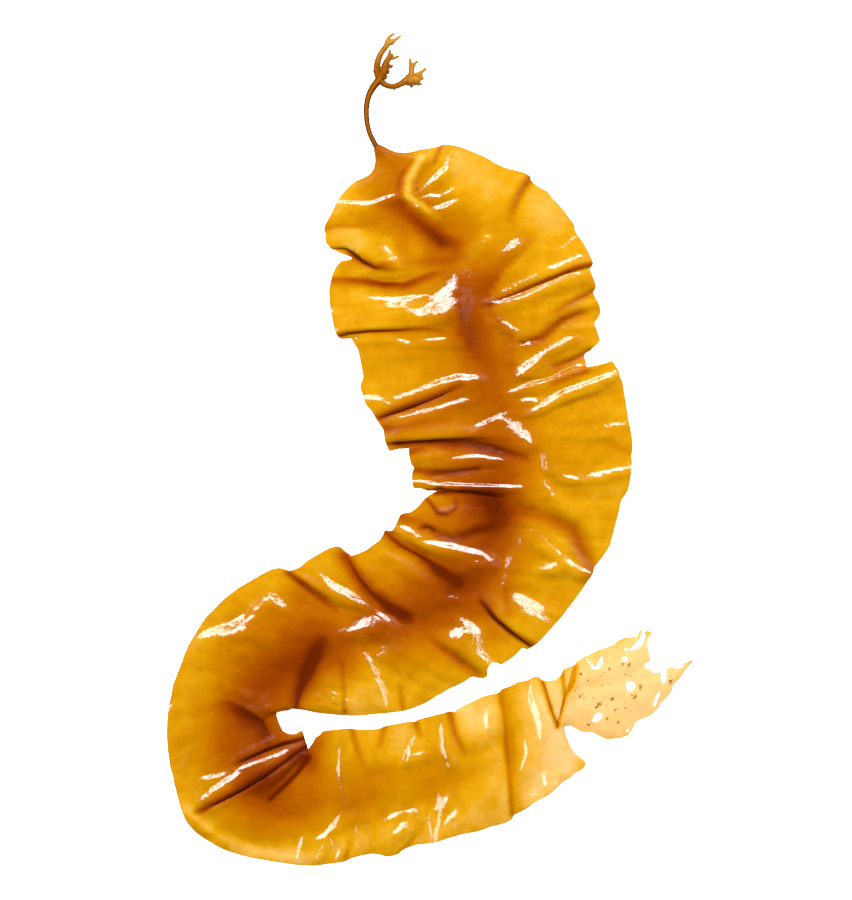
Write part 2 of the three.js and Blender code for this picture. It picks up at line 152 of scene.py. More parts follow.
# %% The two margins, from the stipe to the tip
LEFT_MARGIN = [
    (376, 149), (377.5, 153), (378, 158), (376, 167), (373, 174), (371, 178), (368, 180), (362, 179.5),
    (355, 182), (349, 187), (343, 193), (338, 200), (334, 208), (331, 215), (328, 220), (325, 225),
    (324, 230), (325.5, 234), (326, 243), (331, 248), (340, 253), (347, 255.5), (353, 258), (349, 261),
    (345, 261.5), (342, 260), (336, 267), (333, 273), (331, 280), (329, 290), (329.5, 300), (331, 312),
    (333, 322), (335, 330), (337, 335), (340.5, 339.5), (345, 337), (350, 334.5), (352, 340), (358, 349),
    (360, 358), (362, 368), (363.5, 378), (360, 386), (362, 392), (364, 400), (367, 406), (372, 411),
    (376, 419), (381, 426), (384, 430), (384, 433), (385, 440), (387, 446), (389, 451.5), (394, 450),
    (400, 448.5), (407, 446), (409, 447), (409, 455), (411, 463), (414.5, 468), (412, 472), (412, 482),
    (414, 488.5), (420, 488), (427, 489.5), (433, 488.5), (438, 488.5), (437.5, 491.5), (433, 492.5),
    (429, 495.5), (425, 498), (420, 504), (416, 508.5), (410, 512.5), (403, 513), (400, 515), (397, 522),
    (394, 529), (391, 532), (388, 531), (385, 529), (383, 535), (380, 540), (373, 545), (366, 550),
    (357, 554), (350, 556), (345, 554), (342, 550), (341, 547), (338, 546), (332, 547), (325, 550),
    (317, 555), (308, 560), (300, 567), (294, 569.5), (287, 572), (284, 569), (280, 567.5), (272, 569),
    (262, 574), (250, 581), (238, 588), (225, 598), (213, 610), (205, 618), (200, 626), (193, 638),
    (187, 648), (182, 662), (178, 672), (173, 685), (171, 697), (169, 705), (167.5, 720), (167, 735),
    (168, 750), (170, 765), (173, 775), (175, 785), (178, 797), (181, 808), (185, 818), (190, 825),
    (197, 832), (205, 838), (213, 843), (222, 848), (232, 852), (242, 855), (252, 857.5), (262, 859),
    (272, 861), (282, 862), (290, 863.5), (300, 864.5), (313, 865), (325, 863.5), (335, 862.5),
    (345, 861), (350, 858), (357, 856), (365, 854), (372, 853), (380, 853.5), (386, 856), (393, 855),
    (399, 853), (403, 849), (410, 846), (417, 844), (427, 843), (435, 842), (443, 839), (452, 836),
    (460, 833.5), (470, 832), (480, 830), (490, 826.5), (500, 824), (508, 821.5), (512, 819), (513, 815),
    (520, 811.5), (527, 808), (535, 801.5), (540, 799), (548, 795), (556, 788), (563, 781), (571, 777),
    (575, 772), (580, 771), (584, 767), (586, 764), (584, 760), (580, 757), (575, 756.5), (573, 758),
    (570, 751), (565, 745), (562, 740), (560, 733), (558.3, 727), (561, 726), (565, 725.5), (570, 725),
    (577, 729), (583, 732), (592, 731.5), (600, 736), (607, 739), (620, 738), (628, 735), (632, 730),
    (634, 724), (638, 720), (645, 718), (650, 715.5), (655, 711.5), (659, 707), (660, 702.5), (663, 702),
    (664, 699.5), (668, 696), (671, 692), (670.5, 686), (673, 684), (677, 681), (681, 676), (684, 671),
    (688, 665), (691, 660.5),
]
RIGHT_MARGIN = [
    (378, 146), (384, 150.5), (391, 154), (396, 155.5), (403, 156.3), (407, 155.5), (412, 153.5),
    (420, 150), (430, 148.5), (437, 148), (439, 147), (442, 144.5), (450, 145), (460, 147), (470, 151),
    (480, 155), (490, 160), (498, 165), (505, 168), (513, 170), (522, 172), (528, 175), (531, 177),
    (530, 179), (533, 183), (540, 188), (548, 192), (551, 197), (558, 204), (564, 211), (570, 219),
    (574, 225), (575, 231), (577, 235), (582, 241), (587, 250), (591, 259), (593, 263), (590.5, 266),
    (589, 269), (592, 276), (595, 283), (596, 288), (592.5, 291.5), (595, 298), (599, 304), (600.5, 312),
    (599, 317), (595, 321.5), (594, 324), (597, 331), (600, 341), (597, 344), (590, 350), (585, 353),
    (584, 357), (585.5, 362), (587, 370), (594, 369), (601, 366), (607, 363), (612, 360.5), (616, 367),
    (619.5, 373), (618.5, 376), (622, 380), (624, 392), (626, 405), (628, 418), (630, 428), (632, 440),
    (632, 452), (630.5, 457), (632, 461), (631, 470), (630, 480), (628, 490), (625, 495), (621, 500),
    (619, 510), (616, 522), (613, 533), (610, 545), (605, 553), (600, 560), (595, 566), (593, 570),
    (593, 573), (590, 577), (586, 583), (581, 591), (572, 603), (561, 617), (550, 629), (545, 635),
    (540, 640), (535, 644), (530, 648), (527, 650), (525, 648), (522, 647), (519, 651), (514, 656),
    (508, 660), (501, 664.5), (498, 663), (494, 661.5), (490, 663), (488, 667), (487, 671), (488, 675),
    (485, 677.5), (482, 678.5), (478, 677), (474, 676), (470, 677), (465, 681), (458, 684.5),
    (452, 687), (445, 691), (438, 695), (430, 700), (422, 704), (412, 708), (403, 711), (390, 712),
    (375, 713.5), (362, 715), (350, 715), (335, 714), (320, 712.5), (310, 710), (300, 706.5), (292, 707.5),
    (290, 710), (284, 708.5), (278, 709.5), (276, 713), (278, 720), (280, 725), (283, 731), (290, 734),
    (296, 733.5), (302, 730), (304, 735), (306, 742), (309, 751), (312, 745), (315, 738), (317, 736),
    (320, 735), (322, 731), (330, 730), (340, 729), (350, 728), (358, 729.5), (370, 729.5), (380, 728.5),
    (384, 726), (392, 724.5), (400, 723), (408, 721.5), (415, 721.5), (418, 719.5), (425, 717.5),
    (435, 715), (445, 712.5), (450, 710.5), (454, 712.5), (457, 709.5), (463, 705.5), (470, 702.5),
    (478, 699), (485, 695.5), (495, 693.5), (500, 692), (501, 689), (510, 686), (518, 682), (528, 680),
    (533, 677), (538, 676), (541, 679), (543, 681), (550, 681), (556, 680), (561, 677.5), (562, 672),
    (563, 669), (568, 667), (574, 665.5), (577, 664), (578, 660), (583, 657.5), (590, 654), (598, 650),
    (605, 648), (613, 645), (617, 641), (624, 638), (632, 637), (638, 636), (640, 632), (641, 625),
    (650, 621), (660, 622), (672, 628), (684, 636), (694, 645), (698, 655),
]
left_line = drawn_line(LEFT_MARGIN)
right_line = drawn_line(RIGHT_MARGIN)
print("margins:", len(left_line), "and", len(right_line), "places")

# %% Ribs from margin to margin, [left x, left y, right x, right y]
RIBS = [
    [376, 149, 378, 146], [377.5, 153, 384, 150.5], [378, 162, 394, 155], [372, 176, 412, 153],
    [356, 182, 440, 146], [340, 197, 475, 152], [330, 216, 505, 168], [324, 230, 530, 178],
    [327, 244, 548, 193], [338, 252, 560, 206], [353, 258, 571, 220], [342, 260, 577, 235],
    [334, 271, 586, 248], [330, 282, 593, 263], [329, 294, 589, 269], [331, 310, 596, 288],
    [333, 322, 592, 293], [337, 334, 600, 308], [341, 339.5, 595, 322], [351, 335, 600, 341],
    [358, 349, 591, 350], [362, 366, 584, 355], [361, 386, 587, 370], [365, 402, 600, 366],
    [376, 419, 612, 361], [384, 431, 618, 375], [389, 451, 623, 390], [408, 447, 626, 405],
    [410, 463, 630, 428], [412, 476, 632, 450], [416, 488.5, 630, 478], [437, 489, 624, 496],
    [424, 500, 618, 514], [403, 513.5, 611, 538], [395, 527, 600, 560], [385, 530, 593, 572],
    [379, 541, 573, 602], [362, 551, 552, 627], [350, 556, 527, 649], [340, 546, 513, 657],
    [325, 550, 501, 664.5], [308, 560, 492, 662], [295, 569, 487, 672], [286, 571, 482, 678],
    [279, 567.5, 470, 677], [267, 571, 454, 686], [248, 582, 436, 696], [224, 599, 405, 710],
    [200, 626, 370, 714], [183, 655, 335, 714], [172, 690, 304, 708], [167.5, 718, 290, 710],
    [167.5, 745, 277, 710], [172, 775, 278, 720], [181, 808, 284, 731], [190, 825, 294, 734],
    [206, 839, 302, 730], [224, 849, 305, 738], [250, 857, 309, 751], [275, 861, 314, 740],
    [300, 865, 321, 732], [330, 863, 345, 729], [345, 861, 362, 730], [355, 856.5, 374, 729.5],
    [373, 853, 388, 726], [386, 856, 402, 723], [399, 853, 416, 721], [408, 846, 430, 716.5],
    [430, 843, 451, 711], [456, 834.5, 468, 704], [488, 827, 484, 697], [511, 819.5, 498, 693],
    [514, 814, 506, 688], [540, 799, 511, 685], [558, 786, 516, 683], [573, 775, 521, 681.5],
    [586, 764, 527, 680], [574, 757, 536, 677], [564, 744, 546, 681], [558.3, 728, 557, 679.5],
    [561, 726, 562, 672], [568, 725, 576, 664.5], [582, 732, 590, 654], [607, 739, 606, 648],
    [628, 735, 618, 640], [634, 725, 632, 637], [640, 720, 641, 627], [650, 716, 650, 621],
    [659, 707, 660, 622], [664, 699, 672, 628], [672, 685, 684, 636], [683, 673, 694, 645],
    [691, 661, 698, 655],
]


def places_along(line, ends, step=0.5, furthest=160):
    """How far along the line each rib ends. Each is looked for just after the one before."""
    reached, found = 0, []
    for end in ends:
        ahead = line[reached:reached + int(furthest / step)]
        reached += int(np.argmin(np.hypot(*(ahead - end).T)))
        found.append(reached)
    return np.array(found, float)


ribs = np.array(RIBS, float)
left_ends = places_along(left_line, ribs[:, :2])
right_ends = places_along(right_line, ribs[:, 2:])
print("ribs:", len(ribs), "from", left_ends[0], "to", left_ends[-1], "of", len(left_line))

# %% [markdown]
# ## The sheet, laid out flat
# A grid is the natural start for a leaf or a sheet: its rows become stations along the blade, and its
# columns run from one margin to the other. The grid's corners are then laid out between the two margins.
# The folds run mostly from margin to middle, so the stations are close together and the columns are not.
# Where a margin is notched the rows would cross, so the corners inside are let relax between their
# neighbours.

# %% Stations along the blade
STATIONS = 940
COLUMNS = 50
NECK = 81
TIP_FINENESS = 2.2
CLOSER_AT_MARGINS = 0.06
spans = np.maximum(np.diff(left_ends), np.diff(right_ends)) + 0.5
spans[NECK:] *= TIP_FINENESS
rib_at = np.concatenate([[0], np.cumsum(spans)])
station_at = np.linspace(0, rib_at[-1], STATIONS + 1)
left_at = np.interp(station_at, rib_at, left_ends)
right_at = np.interp(station_at, rib_at, right_ends)


def look_up(line, at):
    """The places on a line at fractional positions in its row."""
    row = np.arange(len(line))
    return np.column_stack([np.interp(at, row, line[:, 0]), np.interp(at, row, line[:, 1])])


even_share = np.linspace(0, 1, COLUMNS + 1)
share = even_share - CLOSER_AT_MARGINS * np.sin(2 * np.pi * even_share)
from_left = look_up(left_line, left_at)[:, None, :]
from_right = look_up(right_line, right_at)[:, None, :]
flat = from_left + (from_right - from_left) * share[None, :, None]
RELAXING_ROUNDS = 400
for _ in range(RELAXING_ROUNDS):
    around = flat[:-2, 1:-1] + flat[2:, 1:-1] + flat[1:-1, :-2] + flat[1:-1, 2:]
    flat[1:-1, 1:-1] += 0.5 * (around / 4 - flat[1:-1, 1:-1])
page_x, page_y = flat[..., 0], flat[..., 1]
across = np.broadcast_to(2 * share - 1, page_x.shape)
width = np.hypot(*(from_right - from_left)[:, 0, :].T)[:, None] * np.ones_like(page_x)
middle_line = flat[:, COLUMNS // 2, :]
along = np.concatenate([[0], np.cumsum(np.hypot(*np.diff(middle_line, axis=0).T))])
along = along[:, None] * np.ones_like(page_x)
print("stations:", STATIONS + 1, "blade length", round(along.max() * SQUARE, 3), "m")

# %% [markdown]
# ## The folds
# Wet kelp falls into soft puffs, sharp creases and pleats where it is gathered. Each is described as a
# brush stroke on the drawing: a crest has a positive height in millimetres and a furrow a negative one, and
# a stroke may be steeper on one side. Sculpting by hand would do, but strokes can be compared with the real
# folds one by one.

# %% Folds of the upper left: (width on the left, on the right, [(x, y, height), ...])
FOLDS_UPPER_LEFT = [
    (7, 7, [(421, 157, 1.5), (408, 182, 2.2), (407, 196, 2.4), (427, 210, 2.2), (438, 220, 0.8)]),
    (10, 12, [(388, 200, -0.6), (408, 215, -2.2), (430, 233, -2.8), (446, 244, -3), (462, 243, -1)]),
    (3, 3, [(441, 147, -1.2), (434, 164, -1)]),
    (7, 5, [(448, 149, 1.6), (449, 170, 2), (424, 188, 1.4)]),
    (5, 12, [(334, 204, 1.4), (362, 206, 1.7), (388, 199, 0.8)]),
    (4, 4, [(325, 229, -1), (345, 226, -1.2), (375, 229, -0.4)]),
    (14, 3, [(330, 246, 2.4), (347, 243, 4.4), (354, 247, 4.4), (365, 256, 4), (377, 265, 2.8),
             (396, 268, 0.6)]),
    (4, 7, [(331, 279, -1), (365, 279, -1.8), (388, 283, -2.2), (408, 282, -2.2), (430, 274, -0.6)]),
    (10, 13, [(352, 300, 1.4), (380, 303, 2.4), (405, 303, 2.8), (432, 297, 2.8), (452, 286, 2.6),
              (466, 274, 0.8)]),
    (14, 3, [(338, 333, 2.6), (348, 328, 3.2), (370, 327, 2.6), (400, 326, 2.2), (430, 325, 0.6)]),
    (6, 5, [(352, 343, 0.6), (390, 340, 1.2), (430, 344, 1.2), (456, 346, 0.8)]),
    (5, 5, [(330, 309, 1), (333, 322, 0.8)]),
    (8, 10, [(364, 404, 1.2), (394, 402, 1.8), (420, 394, 2.4), (445, 387, 2.4), (472, 381, 1.4)]),
    (4, 3, [(381, 418, -1.8), (400, 411, -2.6), (425, 401, -2.4), (446, 393, -2), (462, 384, -0.8)]),
    (6, 7, [(385, 424, 1.4), (410, 419, 2), (440, 411, 1.6), (470, 400, 0.4)]),
    (9, 3, [(388, 440, 2.6), (398, 436, 4.2), (408, 436, 3.8), (440, 434, 3), (475, 433, 2),
            (500, 438, 0.8)]),
    (3, 6, [(396, 447, -1), (412, 442, -1.2), (445, 441, -1.8), (480, 441, -2), (505, 449, -1.8),
            (528, 458, -0.6)]),
    (6, 8, [(410, 456, 1.6), (440, 459, 1.6), (480, 459, 1.4), (518, 466, 0.6)]),
    (3, 4, [(413, 469, -1.8), (440, 473, -2.4), (478, 469, -1.6), (500, 468, -0.2)]),
    (3, 5, [(413, 482, 2), (440, 486, 2.4), (472, 487, 2.2), (520, 489, 0.8)]),
    (3, 2.5, [(427, 490, 2), (436, 481, 3.6), (444, 485, 2.6), (462, 491, 1.2)]),
    (4, 9, [(437, 492, -1.5), (462, 493, -3), (500, 500, -3), (508, 515, -1.5)]),
]
print("strokes:", len(FOLDS_UPPER_LEFT))

# %% Folds of the upper right
FOLDS_UPPER_RIGHT = [
    (5, 6, [(530, 177, -1.6), (520, 194, -1.6), (513, 210, -1.1), (509, 221, -0.4)]),
    (10, 8, [(545, 190, 1.2), (534, 206, 1.4), (526, 226, 0.8)]),
    (9, 4, [(523, 180, 1.4), (511, 200, 1.5), (505, 216, 0.6)]),
    (4, 5, [(516, 249, 1.2), (506, 254, 0.8)]),
    (5, 3.5, [(593, 261, 1.2), (560, 269, 2), (530, 280, 2.2), (502, 293, 2.2), (489, 301, 1.4)]),
    (3.5, 4, [(591, 267, -1.2), (560, 278, -1.6), (530, 289, -1.8), (500, 303, -1.6)]),
    (8, 14, [(588, 277, 1.2), (560, 284, 2.2), (530, 297, 2.4), (502, 308, 1.4)]),
    (5, 10, [(584, 252, 1), (560, 262, 1.6), (532, 276, 1)]),
    (3, 4, [(488, 304, 1.6), (496, 318, 2), (508, 330, 2), (519, 337, 0.8)]),
    (12, 12, [(486, 262, -0.6), (474, 290, -1.3), (470, 320, -1.3), (480, 345, -0.7)]),
    (9, 6, [(460, 290, 0.5), (458, 310, 0.8), (461, 338, 0.8), (476, 353, 0.4)]),
    (3, 3, [(594, 291, -1.4), (572, 302, -2), (553, 313, -0.8)]),
    (4, 5, [(599, 304, 1.6), (575, 309, 1.8), (550, 321, 1.2)]),
    (3, 4, [(582, 313, -1.2), (562, 321, -2.4), (542, 338, -2.6), (522, 344, -2)]),
    (4, 4, [(596, 327, 1), (578, 329, 1.4), (566, 331, 0.8)]),
    (6, 10, [(592, 341, 1.2), (568, 343, 2), (546, 353, 2.6), (526, 369, 1.8)]),
    (3, 3, [(522, 339, 1.6), (514, 348, 2.2), (513, 362, 2), (519, 378, 0.8)]),
    (2.5, 3.5, [(590, 351, -1.6), (570, 361, -2), (553, 367, -1)]),
    (12, 3.5, [(614, 362, 2.6), (598, 367, 2.6), (584, 372, 2.4), (560, 380, 2), (530, 388, 1.6),
               (514, 396, 0.6)]),
    (4, 11, [(612, 380, 1.4), (585, 392, 2), (558, 402, 2.2), (533, 414, 1.4)]),
    (5, 6, [(524, 400, 0.8), (536, 404, 0.9)]),
    (6, 4, [(533, 386, 0.6), (532, 410, 0.8), (540, 436, 1.4), (546, 452, 1.4), (548, 468, 1.2)]),
    (4, 9, [(630, 434, 0.6), (606, 436, 1.4), (574, 438, 1.2)]),
    (4, 5, [(632, 458, -1.6), (614, 448, -1.4), (596, 441, -0.4)]),
    (7, 7, [(498, 416, 1), (512, 424, 1.4), (524, 438, 1)]),
    (5, 7, [(484, 428, 0.8), (506, 417, 0.9)]),
    (5, 9, [(631, 472, 1.4), (604, 478, 1.4), (580, 482, 1.8), (564, 478, 1.8), (554, 466, 1)]),
    (6, 6, [(621, 501, -0.6), (590, 503, -1), (560, 492, -0.9), (553, 482, -0.4)]),
    (4, 4, [(541, 479, 1.1), (549, 496, 1.1)]),
]
print("strokes:", len(FOLDS_UPPER_RIGHT))

# %% Folds of the middle bend
FOLDS_BEND = [
    (6, 3, [(428, 500, 0.6), (436, 512, 0.9), (446, 515, 0.9), (455, 509, 0.5)]),
    (4, 5, [(402, 515, -0.6), (425, 527, -1.4), (450, 537, -2.4), (480, 529, -1.4), (492, 526, -0.4)]),
    (7, 9, [(396, 528, 1.8), (420, 543, 2.6), (450, 550, 3), (480, 557, 2.4), (494, 566, 1)]),
    (6, 8, [(386, 532, -2.4), (402, 544, -3), (425, 556, -3.6), (450, 573, -3.8), (466, 586, -1.2)]),
    (6, 9, [(373, 546, 1.6), (395, 560, 2.2), (425, 580, 2), (440, 600, 0.6)]),
    (5, 9, [(346, 555, -2.2), (356, 572, -3), (376, 596, -4), (402, 615, -3.6), (420, 622, -1)]),
    (8, 9, [(314, 560, 2.6), (324, 581, 3.6), (340, 595, 3.8), (362, 607, 2.8), (388, 625, 1.6),
            (402, 650, 1)]),
    (3, 4, [(288, 573, -2), (305, 586, -2.6), (325, 600, -2.4), (337, 609, -0.8)]),
    (6, 4, [(290, 568, 1.6), (307, 581, 2.4), (327, 594, 1.6)]),
    (8, 8, [(278, 590, 1.6), (262, 605, 1.6), (246, 626, 0.8)]),
    (8, 8, [(593, 574, -2), (584, 550, -3), (574, 530, -3), (548, 517, -2.6), (516, 508, -1.4)]),
    (7, 5, [(592, 573, 1), (574, 556, 3), (554, 538, 3), (530, 524, 1.6)]),
    (6, 6, [(587, 577, 1.6), (566, 566, 2), (546, 550, 2.2), (528, 538, 1)]),
    (9, 9, [(560, 610, 1.2), (536, 610, 2.4), (518, 600, 1.8)]),
    (6, 6, [(557, 572, 1.4), (543, 570, 1.2)]),
    (3.5, 3, [(529, 643, -2.4), (510, 631, -3), (492, 616, -3), (481, 600, -1.4)]),
    (4, 8, [(532, 641, 2.8), (518, 630, 2.6), (500, 615, 2.4), (489, 599, 1)]),
    (4, 4, [(516, 522, 0.9), (519, 546, 0.9)]),
    (5, 5, [(512, 560, 0.8), (507, 575, 1), (508, 592, 1.1), (510, 610, 0.6)]),
    (8, 9, [(490, 668, 0.8), (476, 652, 1.4), (464, 636, 1.4), (456, 624, 0.6)]),
    (5, 6, [(478, 675, -2), (455, 656, -2.8), (432, 642, -1.2)]),
    (8, 8, [(462, 680, 1), (440, 672, 1.2), (420, 660, 0.6)]),
    (5, 6, [(384, 712, 0.8), (379, 692, 1), (367, 664, 0.8), (360, 652, 0.3)]),
    (4, 4, [(403, 709, -1.2), (400, 680, -1.2), (392, 668, -0.2)]),
    (3, 3, [(345, 714, -1.2), (345, 690, -1), (343, 660, -0.4)]),
    (5, 5, [(443, 600, 0.8), (456, 601, 0.8)]),
    (9, 9, [(415, 700, 0.8), (420, 680, 0.8), (410, 665, 0.4)]),
]
print("strokes:", len(FOLDS_BEND))

# %% Folds of the lower bend
FOLDS_CORNER = [
    (6, 6, [(292, 706, -0.8), (302, 684, -1.2), (312, 662, -1.2), (320, 644, -0.8)]),
    (4, 6, [(299, 706, 1), (305, 690, 0.9), (318, 668, 0.7), (330, 655, 0.3)]),
    (7, 7, [(281, 706, 0.7), (290, 685, 0.9), (305, 655, 0.7)]),
    (6, 6, [(328, 704, 0.7), (336, 697, 0.7)]),
    (6, 6, [(276, 712, 1), (262, 706, 1.8), (246, 694, 1.8), (226, 690, 1)]),
    (6, 3, [(270, 734, -2), (262, 722, -2.6), (245, 712, -2.4), (228, 702, -0.8)]),
    (8, 3.5, [(300, 735, 1), (280, 738, 1.8), (262, 745, 2), (238, 757, 1.4)]),
    (3, 3, [(303, 740, -1.6), (282, 745, -1.8), (262, 752, -1.8), (240, 763, -1)]),
    (9, 3, [(302, 744, 3), (284, 755, 3.4), (262, 771, 3.6), (240, 784, 3.2), (218, 797, 2.4),
            (203, 808, 1.4)]),
    (2, 6, [(304, 749, -2), (285, 762, -2.6), (262, 778, -2.8), (240, 791, -2.4), (215, 804, -2),
            (200, 812, -0.8)]),
    (4, 4, [(301, 754, 1.4), (285, 768, 2), (270, 784, 1.4)]),
    (3, 3, [(308, 762, -1.6), (294, 778, -2.4), (275, 797, -1.4)]),
    (6, 6, [(188, 806, 0.9), (196, 824, 1), (207, 832, 0.8)]),
    (12, 12, [(222, 612, 1.2), (206, 632, 1.6), (196, 650, 1)]),
    (9, 9, [(236, 780, 1.2), (212, 795, 1)]),
    (18, 18, [(255, 655, -1.4), (236, 690, -1.6), (232, 735, -1.4)]),
]
print("strokes:", len(FOLDS_CORNER))

# %% Folds of the tail
FOLDS_TAIL = [
    (4, 5, [(344, 729, 1.6), (339, 765, 2), (344, 804, 1)]),
    (3, 3, [(352, 729, -1.6), (357, 748, -1.2), (365, 768, -0.3)]),
    (3, 3, [(384, 727, -1.4), (380, 747, -0.4)]),
    (3, 3, [(402, 723, -0.9), (399, 742, -0.3)]),
    (4, 4, [(413, 722, 2.2), (408, 745, 2.2), (407, 764, 1)]),
    (4, 4, [(441, 714, 2), (444, 745, 2), (452, 768, 1)]),
    (3, 4, [(451, 711, -1.8), (455, 735, -1.6), (464, 755, -0.4)]),
    (3, 3, [(416, 722, -1.2), (420, 738, -0.6)]),
    (10, 10, [(474, 702, 1.6), (480, 730, 1.6), (486, 760, 0.8)]),
    (7, 4, [(500, 690, -0.9), (504, 715, -0.9), (506, 745, -0.9), (509, 772, -0.8), (512, 815, -0.9)]),
    (5, 5, [(502, 792, -0.4), (510, 775, -0.8)]),
    (6, 7, [(530, 681, 2.6), (535, 708, 2.8), (541, 738, 2), (530, 770, 0.8)]),
    (2.5, 3, [(542, 681, -1.8), (549, 708, -2.6), (556, 727, -2.4)]),
    (7, 3, [(577, 664, 1.4), (571, 690, 1.8), (561, 722, 1.6)]),
    (3, 3, [(562, 672, 1.4), (564, 690, 1), (563, 706, 0.5)]),
    (2.5, 5, [(576, 667, 0.5), (574, 683, -1), (566, 698, -1.5), (559, 725, -1.6)]),
    (5, 5, [(185, 815, 1), (204, 830, 1.2), (226, 844, 1)]),
    (7, 7, [(300, 858, 1.4), (301, 840, 1.2)]),
    (8, 8, [(318, 856, 1.6), (330, 832, 1.8), (345, 815, 0.9)]),
    (5, 5, [(345, 858, -1), (352, 835, -0.8), (362, 815, -0.2)]),
    (7, 7, [(386, 852, 1.2), (389, 836, 1.4), (396, 818, 1.6), (413, 814, 0.6)]),
    (5, 5, [(411, 845, -0.9), (422, 826, -0.7)]),
    (7, 7, [(440, 836, 1.2), (446, 820, 1.4), (440, 802, 1.3)]),
    (5, 5, [(428, 842, -0.7), (430, 822, -0.5)]),
    (7, 7, [(548, 790, 1), (545, 780, 1.1), (556, 774, 0.8)]),
    (8, 8, [(590, 700, 0.9), (612, 690, 1.2), (640, 700, 0.8)]),
    (6, 6, [(606, 738, 0.4), (600, 722, 0.6), (586, 706, 0.4)]),
]
FOLDS = FOLDS_UPPER_LEFT + FOLDS_UPPER_RIGHT + FOLDS_BEND + FOLDS_CORNER + FOLDS_TAIL
print("folds:", len(FOLDS))

# %% Uneven forms from noise
PUCKER_HEIGHT = 0.32
STREAK_HEIGHT = 0.14
STREAK_SHADE = 0.025


def uneven(x, y, seed):
    """A smooth uneven value from about -1 to 1 for each place, always the same for one seed."""
    values = [noise.noise(Vector((a, b, seed))) for a, b in zip(x.ravel(), y.ravel())]
    return np.array(values).reshape(x.shape)


def ruffles(along, across):
    """Small regular ruffles, which grow from the flat middle to the margins."""
    reach = np.abs(across) ** 1.5
    wander = 3.0 * np.sin(along / 37.0 + 1.7 * across)
    waves = (
        0.18 * np.sin(along / 3.9 + wander + 0.6 * across)
        + 0.2 * np.sin(along / 6.7 - 1.4 * wander)
        + 0.06 * np.sin(along / 2.3 + 0.8 * across)
    )
    return reach * waves


def puckers(x, y):
    """Shallow uneven dimples all over, in millimetres."""
    return PUCKER_HEIGHT * (uneven(x / 18, y / 18, 0.0) + 0.5 * uneven(x / 11, y / 11, 7.0))


def pleats(along, across):
    """Fine uneven streaks that run from the middle to the margins, from -1 to 1."""
    return uneven(along / 7.0, 1.6 * across, 3.0) + 0.6 * uneven(along / 3.0, 2.4 * across, 9.0)


print("puckers up to about", PUCKER_HEIGHT, "mm")

# %% Room for small ruffles
# Where stations crowd together, or ribs cross the blade at a slant, ruffles would turn into wood grain.
FREE_SPACING = 1.9
along_x, across_x = np.gradient(page_x)
along_y, across_y = np.gradient(page_y)
spacing = np.hypot(along_x, along_y)
squareness = np.abs(along_x * across_y - along_y * across_x)
squareness /= spacing * np.hypot(across_x, across_y) + 1e-6
streaks = pleats(along, across) * np.clip((squareness - 0.8) / 0.15, 0, 1)
room = np.clip(spacing / FREE_SPACING, 0.1, 1) ** 2 * np.clip((squareness - 0.7) / 0.2, 0.1, 1)
print("room for ruffles, on average:", round(float(room.mean()), 2))

# %% Height of the sheet's top above the table
FLANK_BULGE = 1.3
FOLD_HEIGHT = 0.65
MIDDLE_SHARE = 0.2
THICK_MIDDLE = 1.0
THIN_MARGIN = 0.45
THICKER_AT_STIPE = 0.5
NECK_PLACE = (379, 149)
flank = np.clip((np.abs(across) - MIDDLE_SHARE) / (1 - MIDDLE_SHARE), 0, 1)
bulge = FLANK_BULGE * np.sin(np.pi * flank) * np.clip(width / 120, 0.15, 1)
height = bulge + FOLD_HEIGHT * painted(page_x, page_y, FOLDS) + puckers(page_x, page_y)
height += room * ruffles(along, across)
height += STREAK_HEIGHT * room * streaks * np.clip(np.abs(across) * 1.6, 0.25, 1)
near_stipe = np.exp(-((page_y - NECK_PLACE[1]) / 10) ** 2) * np.exp(-((page_x - NECK_PLACE[0]) / 12) ** 2)
thickness = THICK_MIDDLE + (THIN_MARGIN - THICK_MIDDLE) * np.abs(across) ** 1.3
thickness += THICKER_AT_STIPE * near_stipe
print("height of the folds:", round(float(height.max()), 2), "mm")

# %% [markdown]
# ## Where the wet skin shines
# A wet sheet shines only where it faces halfway between the eye and a light, so each glint on the real frond
# tells how its surface tilts there: square to the glint's own line, and away from the viewer or to the left.
# The glints are drawn as strokes with their own width at each point. The sheet is then nudged, as little as
# possible, until it has these tilts and hardly any other place mirrors a light.

